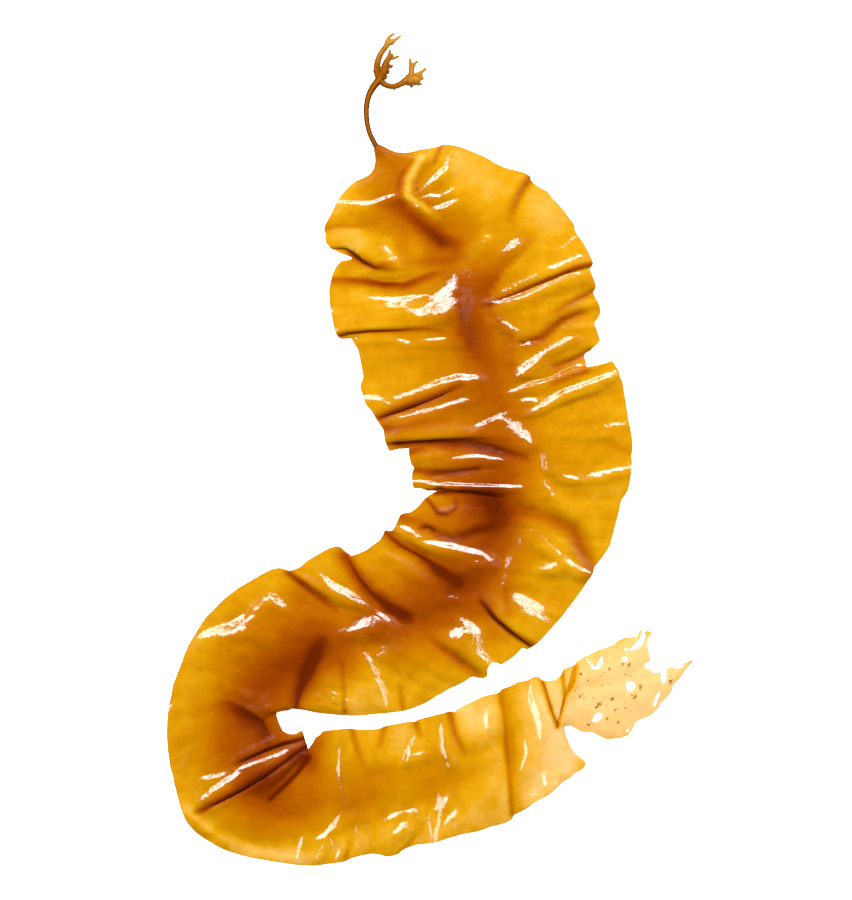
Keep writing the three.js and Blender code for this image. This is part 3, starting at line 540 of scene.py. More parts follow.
# %% Glints: [(x, y, half width), ...]
GLINTS = [
    [(335, 202, 1), (370, 204, 1.5), (392, 196, 1)],
    [(424, 188, 1.3), (437, 177, 2.4), (447, 168, 2), (449, 155, 0.8)],
    [(428, 196, 0.8), (440, 197, 1.2), (452, 190, 0.8)],
    [(462, 262, 1.5), (474, 252, 2.4), (488, 236, 1.6)],
    [(385, 243, 2), (393, 260, 3)],
    [(366, 297, 1), (385, 299, 1.4), (402, 300, 2.4), (418, 296, 2), (430, 292, 3), (446, 284, 6),
     (453, 276, 5),
     (458, 269, 2.5)],
    [(436, 299, 5), (447, 291, 7), (454, 286, 4)],
    [(427, 309, 4), (438, 307, 8), (450, 303, 6)],
    [(391, 305, 3), (402, 302, 4)],
    [(407, 309, 1.8), (416, 313, 3), (423, 315, 1.8)],
    [(466, 271, 2), (469, 276, 2.2)],
    [(331, 311, 2), (337, 311, 1)],
    [(336, 326, 1), (335, 332, 1)],
    [(419, 184, 1), (427, 188, 1), (423, 191, 1), (434, 197, 1)],
    [(435, 209, 1.5), (446, 206, 2.5), (456, 201, 1.5)],
    [(341, 339, 0.7), (356, 337, 0.7)],
    [(401, 342, 2), (408, 344, 2)],
    [(428, 340, 0.8), (446, 339, 0.9)],
    [(394, 399, 1), (420, 390, 1.6), (440, 382, 2), (455, 378, 3), (474, 378, 2)],
    [(360, 397, 1.5), (377, 398, 2)],
    [(381, 399, 1), (389, 405, 2)],
    [(400, 418, 0.8), (437, 408, 1.2), (465, 400, 1.4)],
    [(476, 427, 1), (487, 422, 1.6), (505, 413, 1.8)],
    [(502, 419, 3), (514, 428, 5), (528, 440, 4)],
    [(453, 459, 1), (475, 456, 1.4), (500, 460, 1.2)],
    [(412, 481, 0.9), (445, 484, 1.2), (472, 486, 1.4), (520, 487, 0.8)],
    [(395, 524, 0.9), (410, 530, 1.6), (420, 538, 1)],
    [(425, 542, 1.3), (450, 546, 2.4), (480, 554, 2.4), (491, 561, 1.3)],
    [(315, 555, 1.3), (323, 571, 4), (334, 583, 5.5), (346, 591, 4.4), (361, 601, 2.4), (376, 611, 1.6),
     (388, 620, 1)],
    [(278, 590, 1), (262, 604, 1.2), (242, 630, 0.8)],
    [(201, 634, 4), (214, 626, 8), (230, 620, 7), (241, 614, 3)],
    [(222, 633, 3), (233, 628, 5), (240, 622, 4)],
    [(445, 593, 1.4), (455, 597, 2)],
    [(454, 634, 4), (464, 629, 5)],
    [(460, 618, 2), (468, 626, 5), (475, 635, 6), (478, 649, 5), (489, 662, 2)],
    [(517, 598, 4), (527, 606, 7), (538, 612, 6), (545, 619, 3)],
    [(543, 569, 2), (557, 563, 2.6)],
    [(531, 529, 1.2), (545, 538, 2), (556, 548, 2.2), (574, 566, 1.8), (590, 573, 1)],
    [(549, 458, 1.2), (554, 470, 1.3), (563, 477, 1.4), (576, 479, 1.4)],
    [(590, 475, 1.2), (606, 472, 1.3), (631, 467, 1.3)],
    [(606, 426, 1), (625, 423, 1.8)],
    [(531, 412, 1.2), (545, 404, 2.6), (560, 393, 2.2), (590, 382, 1.8), (612, 374, 2.4)],
    [(523, 400, 1.6), (534, 400, 2.2)],
    [(510, 392, 1.4), (530, 384, 1.8), (546, 381, 1.4)],
    [(548, 380, 0.9), (580, 365, 1.2)],
    [(522, 371, 4), (532, 363, 3.6), (546, 352, 2), (570, 338, 1.8)],
    [(520, 346, 1.2), (530, 342, 1.4)],
    [(490, 308, 1.4), (500, 322, 1.8), (519, 332, 1.3)],
    [(497, 302, 2.2), (525, 295, 2.6), (545, 286, 1.8), (565, 276, 1.8), (580, 272, 1.2)],
    [(493, 298, 0.8), (518, 284, 1), (538, 275, 0.8)],
    [(507, 250, 2.4), (515, 243, 3.4)],
    [(550, 268, 1.2), (580, 256, 1.4)],
    [(562, 247, 0.8), (577, 236, 1.4)],
    [(363, 650, 1.6), (372, 665, 3.6), (381, 685, 4), (387, 704, 3)],
    [(323, 703, 1.4), (330, 696, 1.4), (337, 700, 1.2)],
    [(238, 770, 1), (252, 764, 1), (272, 757, 1), (288, 750, 0.8)],
    [(341, 631, 1.8), (352, 627, 4), (364, 622, 6.5), (373, 621, 5)],
    [(376, 656, 2), (382, 651, 3), (386, 646, 1.4)],
    [(353, 683, 2), (358, 682, 2)],
    [(326, 702, 1.2), (322, 696, 1.2), (328, 690, 1.2), (335, 694, 1.4), (334, 702, 1.2)],
    [(342, 706, 1.4), (346, 700, 1)],
    [(166, 712, 2), (172, 700, 2)],
    [(274, 592, 4), (280, 602, 5)],
    [(268, 580, 1.6), (272, 576, 1)],
    [(424, 196, 0.8), (418, 205, 0.8)],
    [(590, 480, 0.8), (600, 476, 0.8)],
    [(476, 562, 2), (484, 562, 2)],
    [(474, 598, 1), (480, 592, 0.8)],
    [(506, 550, 0.8), (508, 570, 1)],
    [(204, 797, 1.4), (214, 789, 1.8), (226, 781, 2.2), (238, 774, 1.6)],
    [(200, 777, 1), (208, 778, 2), (224, 774, 1.4)],
    [(187, 815, 0.9), (195, 822, 1.1), (204, 829, 0.9)],
    [(299, 856, 1.2), (300, 848, 2), (303, 838, 1.6)],
    [(318, 838, 1.6), (326, 834, 2.6), (333, 827, 2.6), (340, 812, 1.4)],
    [(326, 834, 1.6), (332, 842, 2.2)],
    [(336, 842, 1.4), (340, 850, 2.6), (337, 858, 1.4)],
    [(318, 858, 0.9), (323, 846, 0.9)],
    [(386, 818, 2), (398, 812, 3.6), (412, 810, 3)],
    [(395, 832, 2.6), (407, 822, 3.6)],
    [(437, 808, 2), (445, 799, 2.6)],
    [(446, 823, 2.4), (455, 812, 2.8)],
    [(437, 795, 2.4), (444, 803, 2.4), (440, 816, 1.4), (435, 841, 0.9)],
    [(446, 808, 1.4), (455, 822, 2), (452, 833, 1.3)],
    [(402, 805, 2.4), (412, 812, 2)],
    [(399, 824, 1.6), (410, 828, 1.6)],
    [(416, 812, 1), (420, 838, 0.8)],
    [(428, 815, 1), (433, 842, 0.8)],
    [(352, 812, 1.4), (366, 815, 1.4)],
    [(356, 826, 1.2), (362, 846, 1)],
    [(366, 824, 1.2), (372, 846, 1)],
    [(240, 842, 1), (262, 852, 1.2), (284, 857, 1)],
    [(526, 795, 1), (536, 794, 1.8), (541, 798, 1.2)],
    [(175, 775, 1), (184, 783, 1)],
    [(169, 758, 1), (178, 768, 1)],
    [(189, 645, 1.2), (186, 652, 1.2)],
    [(172, 695, 1.6), (170, 703, 1.4)],
    [(343, 730, 1), (340, 750, 1.2), (340, 772, 1.5), (346, 803, 1.3)],
    [(413, 722, 2.4), (411, 738, 3.4), (407, 757, 2.8)],
    [(409, 756, 1.6), (423, 753, 2)],
    [(440, 715, 1), (442, 730, 2), (444, 750, 2), (450, 765, 1)],
    [(529, 681, 1.6), (530, 694, 2.2), (533, 705, 2.4), (537, 714, 2.8), (540, 724, 2.6), (541, 737, 1.2)],
    [(522, 730, 1), (525, 742, 1), (527, 754, 1), (523, 764, 1), (519, 773, 1)],
    [(544, 772, 1.6), (546, 783, 1.8)],
    [(546, 774, 1.4), (554, 782, 1.2)],
    [(551, 772, 0.9), (562, 770, 0.9)],
    [(486, 713, 2), (487, 729, 1.8)],
    [(490, 780, 0.9), (498, 779, 0.9)],
    [(515, 335, 0.9), (513, 346, 1.2), (514, 360, 1.3), (519, 375, 1.2)],
    [(517, 522, 1.6), (518, 534, 1.8), (519, 545, 2.4)],
    [(511, 560, 2), (508, 572, 1.6), (503, 585, 1.6)],
    [(544, 455, 2.6), (546, 467, 2.6)],
    [(541, 478, 1.4), (546, 486, 2.4), (550, 494, 1.8)],
    [(390, 632, 0.9), (400, 650, 0.9)],
]
print("glints:", len(GLINTS))

# %% [markdown]
# ## Nudge the sheet
# A gradient is how fast the height changes in x and in y. It is measured on the grid, changed where a glint
# asks for it, and turned back into heights by a least squares fit along every edge of the grid. The fit is
# solved by conjugate gradients, which only needs the sheet's own differences.

# %% Slopes on a bent grid
SMALLEST_CELL = 0.05
table_x, table_y = page_x * SQUARE / MM, -page_y * SQUARE / MM


def slopes(height):
    """How the height changes for each mm to the right and for each mm away from the viewer."""
    along_x, across_x = np.gradient(table_x)
    along_y, across_y = np.gradient(table_y)
    along_h, across_h = np.gradient(height)
    area = along_x * across_y - across_x * along_y
    sound = np.abs(area) > 2 * SMALLEST_CELL
    too_small = np.abs(area) < SMALLEST_CELL
    area = np.where(too_small, np.where(area < 0, -SMALLEST_CELL, SMALLEST_CELL), area)
    to_right = (along_h * across_y - across_h * along_y) / area
    to_far = (across_h * along_x - along_h * across_x) / area
    return to_right, to_far, sound


print("cells of the grid:", STATIONS * COLUMNS)

# %% Where the sheet shines and how it faces there
THINNEST_GLINT = 1.2
GLINT_CORE = 1.9
RAGGEDNESS = 0.6
FILM_FADE = 0.3
FILM_AT_MOST = 0.85
CLEARLY_UPRIGHT = 0.35
ragged = uneven(page_x / 4.5, page_y / 4.5, 21.0)


def facing_side(points):
    """The side that a whole stroke faces: away from the viewer, or to the left where it runs up the page."""
    run = math.atan2(points[-1][1] - points[0][1], points[-1][0] - points[0][0])
    right, far = math.sin(run), math.cos(run)
    wrong = far < 0 if abs(far) > CLEARLY_UPRIGHT else right > 0
    return (-right, -far) if wrong else (right, far)


def glint_tilts(strokes):
    """Where the sheet shines, from 0 to 1, the direction that it faces there, and the film of water on it."""
    strength = np.zeros(page_x.shape)
    film = np.zeros(page_x.shape)
    face_right = np.zeros(page_x.shape)
    face_far = np.zeros(page_x.shape)
    for points in strokes:
        away, _, half_width, heading = beside(page_x, page_y, points)
        widths_away = away / np.maximum(half_width, THINNEST_GLINT)
        here = np.clip(GLINT_CORE + RAGGEDNESS * ragged - widths_away, 0, 1)
        film_here = 1 - (away - half_width) / (FILM_FADE * half_width + 0.7)
        film = np.maximum(film, np.clip(film_here, 0, FILM_AT_MOST))
        side_right, side_far = facing_side(points)
        right, far = np.sin(heading), np.cos(heading)
        backwards = right * side_right + far * side_far < 0
        right, far = np.where(backwards, -right, right), np.where(backwards, -far, far)
        stronger = here > strength
        strength = np.where(stronger, here, strength)
        face_right = np.where(stronger, right, face_right)
        face_far = np.where(stronger, far, face_far)
    return strength, face_right, face_far, film


print("unevenness of the glints' edges:", round(float(np.abs(ragged).max()), 2))

# %% The lights that the glints mirror: (compass direction in degrees, watts)
RING_REACH = 1.5
RING_HEIGHT = 1.7
RING_STEP = 45
LIGHT_SPREAD = 12
RING = [(-90, 25), (-45, 36), (0, 42), (45, 34), (90, 20)]


def mirror_tilts(face_right, face_far):
    """The slopes that reflect the nearest light of the ring into the camera."""
    facing = np.degrees(np.arctan2(face_right, face_far))
    light = np.clip(RING_STEP * np.round(facing / RING_STEP), RING[0][0], RING[-1][0])
    turn = np.radians(light + np.clip(facing - light, -LIGHT_SPREAD, LIGHT_SPREAD))
    x, y = table_x * MM, table_y * MM
    to_light = np.stack([RING_REACH * np.sin(turn) - x, RING_REACH * np.cos(turn) - y, 0 * x + RING_HEIGHT])
    to_camera = np.stack([-x, -y, 0 * x + distance])
    half = to_light / np.linalg.norm(to_light, axis=0) + to_camera / np.linalg.norm(to_camera, axis=0)
    return -half[0] / half[2], -half[1] / half[2]


print("lights in the ring:", len(RING))

# %% The tilts that are wanted
DULL_LIMIT = 0.13
DULLED_REST = 0.08
to_right, to_far, sound = slopes(height)
glint, face_right, face_far, film = glint_tilts(GLINTS)
mirror_right, mirror_far = mirror_tilts(face_right, face_far)
slope = np.hypot(to_right, to_far) + 1e-6
towards_lights = np.clip(-1.5 * to_far / slope + 0.8, 0, 1)
steep = np.clip((slope - 1.3) / 0.5, 0, 1)
duller = np.where(slope > DULL_LIMIT, DULL_LIMIT + DULLED_REST * (slope - DULL_LIMIT), slope) / slope
calm = (1 - steep) * (1 - glint) * towards_lights
change_right = sound * (glint * (mirror_right - to_right) + calm * (duller - 1) * to_right)
change_far = sound * (glint * (mirror_far - to_far) + calm * (duller - 1) * to_far)
print("part of the sheet that shines:", round(float((glint > 0.5).mean()), 3))

# %% Fit the heights to the tilts
HOLD = 0.004
GLINT_STIFFNESS = 15
FIT_ROUNDS = 500
SOFT_FLOOR = 0.2


def edge_change(axis):
    """The wanted change of height along the grid's edges in one direction, and the edges' stiffness."""
    low = [slice(None), slice(None)]
    high = [slice(None), slice(None)]
    low[axis], high[axis] = slice(None, -1), slice(1, None)
    low, high = tuple(low), tuple(high)
    run_x, run_y = table_x[high] - table_x[low], table_y[high] - table_y[low]
    change = 0.5 * (change_right[low] + change_right[high]) * run_x
    change += 0.5 * (change_far[low] + change_far[high]) * run_y
    stiffness = 1 + GLINT_STIFFNESS * np.maximum(glint[low], glint[high])
    stiffness /= np.maximum(run_x ** 2 + run_y ** 2, 0.05)
    return change, stiffness


def spread_back(per_edge, axis):
    """Adds each edge's value to its far end and takes it from its near end."""
    pad = [(0, 0), (0, 0)]
    pad[axis] = (1, 1)
    return -np.diff(np.pad(per_edge, pad), axis=axis)


wanted = [edge_change(0), edge_change(1)]


def pull(h):
    """The fit's own matrix, applied to heights."""
    total = HOLD * h
    for axis, (_, stiffness) in enumerate(wanted):
        total = total + spread_back(stiffness * np.diff(h, axis=axis), axis)
    return total


print("edges to fit:", sum(change.size for change, _ in wanted))

# %% Solve the fit
nudge = np.zeros_like(height)
rest = sum(spread_back(stiffness * change, axis) for axis, (change, stiffness) in enumerate(wanted))
direction = rest.copy()
left_over = float((rest * rest).sum())
for _ in range(FIT_ROUNDS):
    pulled = pull(direction)
    size = left_over / float((direction * pulled).sum())
    nudge += size * direction
    rest -= size * pulled
    now_left = float((rest * rest).sum())
    direction = rest + now_left / left_over * direction
    left_over = now_left
height = height + nudge
height = 0.5 * (height + np.sqrt(height ** 2 + SOFT_FLOOR ** 2))
print("largest nudge:", round(float(np.abs(nudge).max()), 2), "mm, left over", round(left_over, 6))
print("height after it:", round(float(height.max()), 2), "mm")

# %% [markdown]
# ## Lips that lean over
# Where the sheet is gathered, a crest topples and hides what lies behind it. A grid that only rises and
# falls can't do that, so the crest is also pushed sideways, further at its top than at its foot.

# %% Lips: (half width left, half width right, [(x, y, push in squares), ...], direction)
LIPS = [
    (5, 2.5, [(334, 246, 0.5), (347, 243, 3), (355, 247, 3.5), (366, 257, 3), (377, 265, 1)], (-0.3, 1)),
    (5, 2.5, [(341, 333, 1), (349, 329, 2.2), (368, 327, 1.6), (400, 327, 0.8)], (0, 1)),
    (4, 2.5, [(382, 414, 1), (400, 408, 2), (425, 399, 2), (446, 390, 1.2)], (0.2, 1)),
    (4, 2.5, [(390, 440, 1), (399, 437, 3), (408, 437, 2.6), (440, 435, 1.8), (475, 434, 1)], (0, 1)),
    (3, 2.5, [(430, 488, 1), (437, 482, 2.5), (445, 486, 1)], (0.5, 1)),
    (5, 3.5, [(592, 262, 0.8), (560, 270, 1.2), (530, 281, 1.4), (502, 294, 1.4), (489, 302, 0.8)], (0.2, 1)),
    (4, 3, [(388, 534, -1), (402, 544, -1.6), (425, 556, -2), (450, 571, -1.6)], (0.4, -1)),
    (4, 3, [(350, 560, -1), (360, 576, -1.8), (380, 597, -2.4), (400, 611, -1)], (0.6, -1)),
    (3, 3, [(531, 641, 2), (518, 630, 1.8), (500, 615, 1.6), (489, 600, 0.5)], (-0.7, 0.7)),
    (5, 2.5, [(300, 745, 1.6), (284, 756, 2.4), (262, 771, 2.6), (240, 784, 2), (215, 799, 1)], (0.5, 1)),
    (4, 2.5, [(300, 736, 0.6), (280, 739, 1.4), (262, 746, 1.6), (240, 757, 0.8)], (0.2, 1)),
    (3, 2.5, [(541, 682, 1), (548, 706, 2), (555, 726, 1.4)], (1, 0)),
    (3, 2.5, [(577, 665, 1), (571, 690, 1.8), (561, 722, 1.2)], (-1, 0)),
]
lean_x = np.zeros_like(page_x)
lean_y = np.zeros_like(page_y)
for left, right, points, (dx, dy) in LIPS:
    strength, push = stroke(page_x, page_y, points, left, right)
    lean_x += strength * push * dx
    lean_y += strength * push * dy
print("lips:", len(LIPS), "furthest push", round(float(np.hypot(lean_x, lean_y).max()), 1), "squares")

# %% [markdown]
# ## Torn places
# The end of the blade is rotting away, as old kelp does: it is ragged and full of holes. Each torn place is
# a closed outline. The corners of the grid just inside one are drawn to its edge, and the faces wholly inside
# are taken out. A boolean cut would do the same to a solid, but a thin bare sheet has no inside to cut.

# %% Outlines of what is gone
TORN_PLACES = [
    [
        (641, 600), (641, 634), (640, 639), (636, 643), (632, 647), (628, 648.5), (623, 647), (622, 650),
        (628, 651.5), (634, 650), (640, 648), (643, 643), (645, 638), (646, 634), (644, 632), (648, 630.5),
        (652, 633), (648, 637), (647, 642), (647, 649), (649, 652), (649, 659), (645, 662), (644, 666),
        (646, 669), (650, 669), (652, 672.5), (658, 672.5), (660, 670), (661, 676), (660, 680),
        (662.5, 683.5), (665, 682.5), (666.5, 676), (665.5, 672), (667, 668), (671, 666), (675, 668.5),
        (680, 669.5), (683, 666.5), (684, 662), (687, 663), (690, 659.5), (692, 661), (715, 661), (715, 600),
    ],
    [(630, 680.5), (634, 682.5), (635.5, 687), (633, 691), (630, 692), (627, 690.5), (625.5, 686),
     (627, 682)],
    [(622, 656), (624.5, 655.5), (628, 657), (627, 661), (624.5, 662.5), (622, 661)],
    [(582, 658), (584, 658), (588, 663), (592, 669), (597, 669.5), (601, 667), (603, 661), (603, 657),
     (600, 656), (599, 661), (596, 663), (598, 666), (595, 666.5), (590, 661), (585, 656)],
    [(594, 715), (597, 712.5), (602, 713), (603, 716), (600, 719), (596, 722), (592, 721)],
    [(625.5, 728), (628, 727), (629.5, 730), (628, 732.5), (625.5, 731)],
    [(659.5, 691.5), (660, 695), (657, 699), (656, 705), (653.5, 706.5), (652.5, 703), (655, 697),
     (657, 692)],
    [(612, 668), (615, 668), (616, 671), (612.5, 671.5)],
    [(648.5, 689), (650.5, 690), (650.5, 695), (648.5, 694)],
]


def inside(x, y, outline):
    """True for each place that lies within the closed outline."""
    within = np.zeros(x.shape, bool)
    for (ax, ay), (bx, by) in zip(outline, outline[1:] + outline[:1]):
        crosses = (ay > y) != (by > y)
        with np.errstate(divide="ignore", invalid="ignore"):
            at = (bx - ax) * (y - ay) / (by - ay) + ax
        within ^= crosses & (x < at)
    return within


def drawn_to_edge(x, y, outline):
    """The nearest place on the outline."""
    nearest = np.full(x.shape, np.inf)
    edge_x, edge_y = x.copy(), y.copy()
    for (ax, ay), (bx, by) in zip(outline, outline[1:] + outline[:1]):
        dx, dy = bx - ax, by - ay
        t = np.clip(((x - ax) * dx + (y - ay) * dy) / (dx * dx + dy * dy), 0, 1)
        px, py = ax + t * dx, ay + t * dy
        away = np.hypot(x - px, y - py)
        closer = away < nearest
        nearest = np.where(closer, away, nearest)
        edge_x, edge_y = np.where(closer, px, edge_x), np.where(closer, py, edge_y)
    return edge_x, edge_y


gone = np.zeros(page_x.shape, bool)
sheet_x, sheet_y = page_x.copy(), page_y.copy()
for outline in TORN_PLACES:
    hole = inside(page_x, page_y, outline)
    edge_x, edge_y = drawn_to_edge(page_x, page_y, outline)
    kept = np.pad(~hole, 1, constant_values=False)
    near_kept = np.zeros(hole.shape, bool)
    for di in (0, 1, 2):
        for dj in (0, 1, 2):
            near_kept |= kept[di:di + hole.shape[0], dj:dj + hole.shape[1]]
    moved = hole & near_kept
    sheet_x, sheet_y = np.where(moved, edge_x, sheet_x), np.where(moved, edge_y, sheet_y)
    gone |= hole
print("grid corners inside torn places:", int(gone.sum()))

# %% [markdown]
# ## The blade's mesh
# The grid is added flat, its corners are placed, and the torn faces go. The folded sheet then gets its
# thickness from a Solidify modifier, downwards from the top, thicker in the middle than at the margins.

# %% Add the grid and place its corners
def grid_order(values):
    """Values per station and column, in the order of the grid's corners."""
    return np.ascontiguousarray(values).ravel()


bpy.ops.mesh.primitive_grid_add(x_subdivisions=COLUMNS, y_subdivisions=STATIONS, size=1)
blade = bpy.context.object
blade.name = "ruffled_blade"
blade.data.name = "ruffled_blade"
top = (height + thickness) * MM
places = np.stack(lay(sheet_x + lean_x, sheet_y + lean_y, top), axis=-1)
blade.data.vertices.foreach_set("co", grid_order(places))
blade.data.update()
print("corners:", len(blade.data.vertices), "expected", places.shape[0] * places.shape[1])

# %% Take out the torn faces
corner_gone = grid_order(gone)
blade.data.vertices.foreach_set("select", np.zeros(len(blade.data.vertices), bool))
blade.data.edges.foreach_set("select", np.zeros(len(blade.data.edges), bool))
loops = np.empty(len(blade.data.loops), int)
blade.data.loops.foreach_get("vertex_index", loops)
face_gone = corner_gone[loops].reshape(-1, 4).all(axis=1)
blade.data.polygons.foreach_set("select", face_gone)
bpy.ops.object.mode_set(mode="EDIT")
bpy.ops.mesh.select_mode(type="FACE")
bpy.ops.object.mode_set(mode="OBJECT")
blade.data.polygons.foreach_set("select", face_gone)
print("faces taken out:", int(face_gone.sum()), "of", len(face_gone))

# %% [markdown]
# ## What the tissue looks like, place by place
# Kelp is a filter: where the sheet is thick it lets little light through and looks brown, and where it is
# thin it glows yellow. So the sheet carries a density that the material reads as colour. It is highest along
# the middle band and lowest at the old, bleached tip. The same number also carries painted light: shade in
# the folds, for creases and for where the sheet would lie double, a painted shadow beyond each leaning lip,
# and a few pale strokes that paint sheen on crests.

# %% The dense middle band: (width on the left, on the right, [(x, y, density), ...])
MIDDLE_BAND = [
    (34, 34, [(385, 158, 0.3), (395, 190, 0.3), (412, 215, 0.34), (440, 240, 0.36), (468, 262, 0.34),
              (470, 290, 0.36), (470, 318, 0.36), (478, 345, 0.34), (490, 370, 0.32), (498, 400, 0.32),
              (503, 440, 0.36), (500, 480, 0.42), (495, 510, 0.44), (490, 545, 0.42), (470, 585, 0.42),
              (440, 605, 0.4), (400, 622, 0.4), (350, 642, 0.42), (310, 655, 0.48), (270, 680, 0.48),
              (245, 715, 0.42), (240, 745, 0.38), (250, 778, 0.4), (275, 800, 0.36), (320, 800, 0.26),
              (370, 790, 0.24), (420, 778, 0.2), (470, 762, 0.1), (520, 750, 0.0)]),
]
print("strokes of the middle band:", len(MIDDLE_BAND))

# %% Broad brown zones around it
BROAD_BAND = [
    (44, 44, [(440, 250, 0.0), (480, 330, 0.06), (490, 400, 0.06), (480, 470, 0.1), (475, 540, 0.16),
              (440, 590, 0.17), (390, 612, 0.15), (340, 632, 0.13), (300, 645, 0.14), (268, 672, 0.14),
              (246, 715, 0.13), (246, 760, 0.12), (270, 790, 0.1), (330, 800, 0.06), (380, 790, 0.02)]),
    (16, 16, [(470, 290, 0.04), (475, 340, 0.1), (492, 390, 0.04), (500, 430, 0.0)]),
    (22, 22, [(396, 424, 0.14), (425, 408, 0.22), (455, 402, 0.2)]),
    (14, 14, [(176, 700, 0.03), (176, 740, 0.07), (184, 775, 0.04)]),
    (12, 12, [(268, 728, 0.1), (290, 748, 0.08)]),
    (10, 10, [(318, 745, 0.13), (314, 768, 0.1)]),
    (16, 16, [(510, 596, 0.06), (560, 604, 0.05)]),
    (20, 20, [(372, 356, 0.05), (430, 362, 0.05)]),
    (14, 14, [(592, 448, 0.05), (626, 454, 0.05)]),
    (20, 20, [(192, 652, 0.03), (184, 700, 0.03), (186, 760, 0.03)]),
    (16, 16, [(306, 596, 0.06), (326, 610, 0.06), (236, 628, 0.06)]),
    (30, 30, [(560, 310, 0.05), (560, 370, 0.06), (590, 420, 0.04)]),
    (18, 18, [(545, 455, 0.06), (575, 470, 0.06)]),
    (12, 12, [(556, 244, 0.05), (574, 226, 0.06)]),
    (12, 12, [(422, 168, 0.08), (440, 170, 0.05)]),
    (10, 10, [(364, 220, 0.05), (396, 220, 0.06)]),
    (10, 10, [(380, 276, 0.04), (415, 286, 0.06)]),
    (10, 10, [(484, 606, 0.1), (496, 630, 0.1), (514, 640, 0.04)]),
    (14, 14, [(435, 655, 0.05), (462, 662, 0.05)]),
    (12, 12, [(402, 522, 0.06), (436, 524, 0.06)]),
    (8, 8, [(328, 222, 0.06), (350, 219, 0.12), (374, 222, 0.1)]),
    (10, 10, [(398, 165, 0.06), (402, 180, 0.08)]),
    (10, 10, [(345, 268, 0.08), (356, 262, 0.08)]),
    (12, 12, [(402, 334, 0.05), (430, 334, 0.06)]),
    (14, 14, [(348, 560, 0.05), (362, 575, 0.08), (384, 596, 0.04)]),
    (18, 18, [(300, 598, 0.08), (270, 616, 0.06), (246, 612, 0.04)]),
    (12, 12, [(280, 740, 0.08), (306, 760, 0.12)]),
    (10, 10, [(438, 478, 0.12), (455, 478, 0.08)]),
    (20, 20, [(415, 455, 0.06), (450, 450, 0.14), (478, 446, 0.08)]),
    (16, 16, [(420, 478, 0.08), (455, 478, 0.12), (480, 480, 0.05)]),
    (22, 22, [(412, 520, 0.08), (440, 518, 0.14), (462, 520, 0.08)]),
    (12, 12, [(480, 620, 0.06), (492, 640, 0.08)]),
    (12, 12, [(535, 345, 0.08), (560, 372, 0.1)]),
    (26, 20, [(395, 545, 0.05), (430, 570, 0.16), (455, 585, 0.14)]),
    (16, 16, [(312, 640, 0.06), (298, 664, 0.06)]),
    (14, 14, [(262, 742, 0.1), (285, 728, 0.14)]),
    (14, 14, [(318, 738, 0.16), (310, 760, 0.1)]),
    (18, 18, [(262, 790, 0.06), (240, 812, 0.06)]),
    (16, 16, [(244, 612, 0.06), (232, 636, 0.08), (216, 664, 0.04)]),
    (12, 12, [(300, 592, 0.08), (312, 606, 0.08)]),
]
print("broad zones:", len(BROAD_BAND))
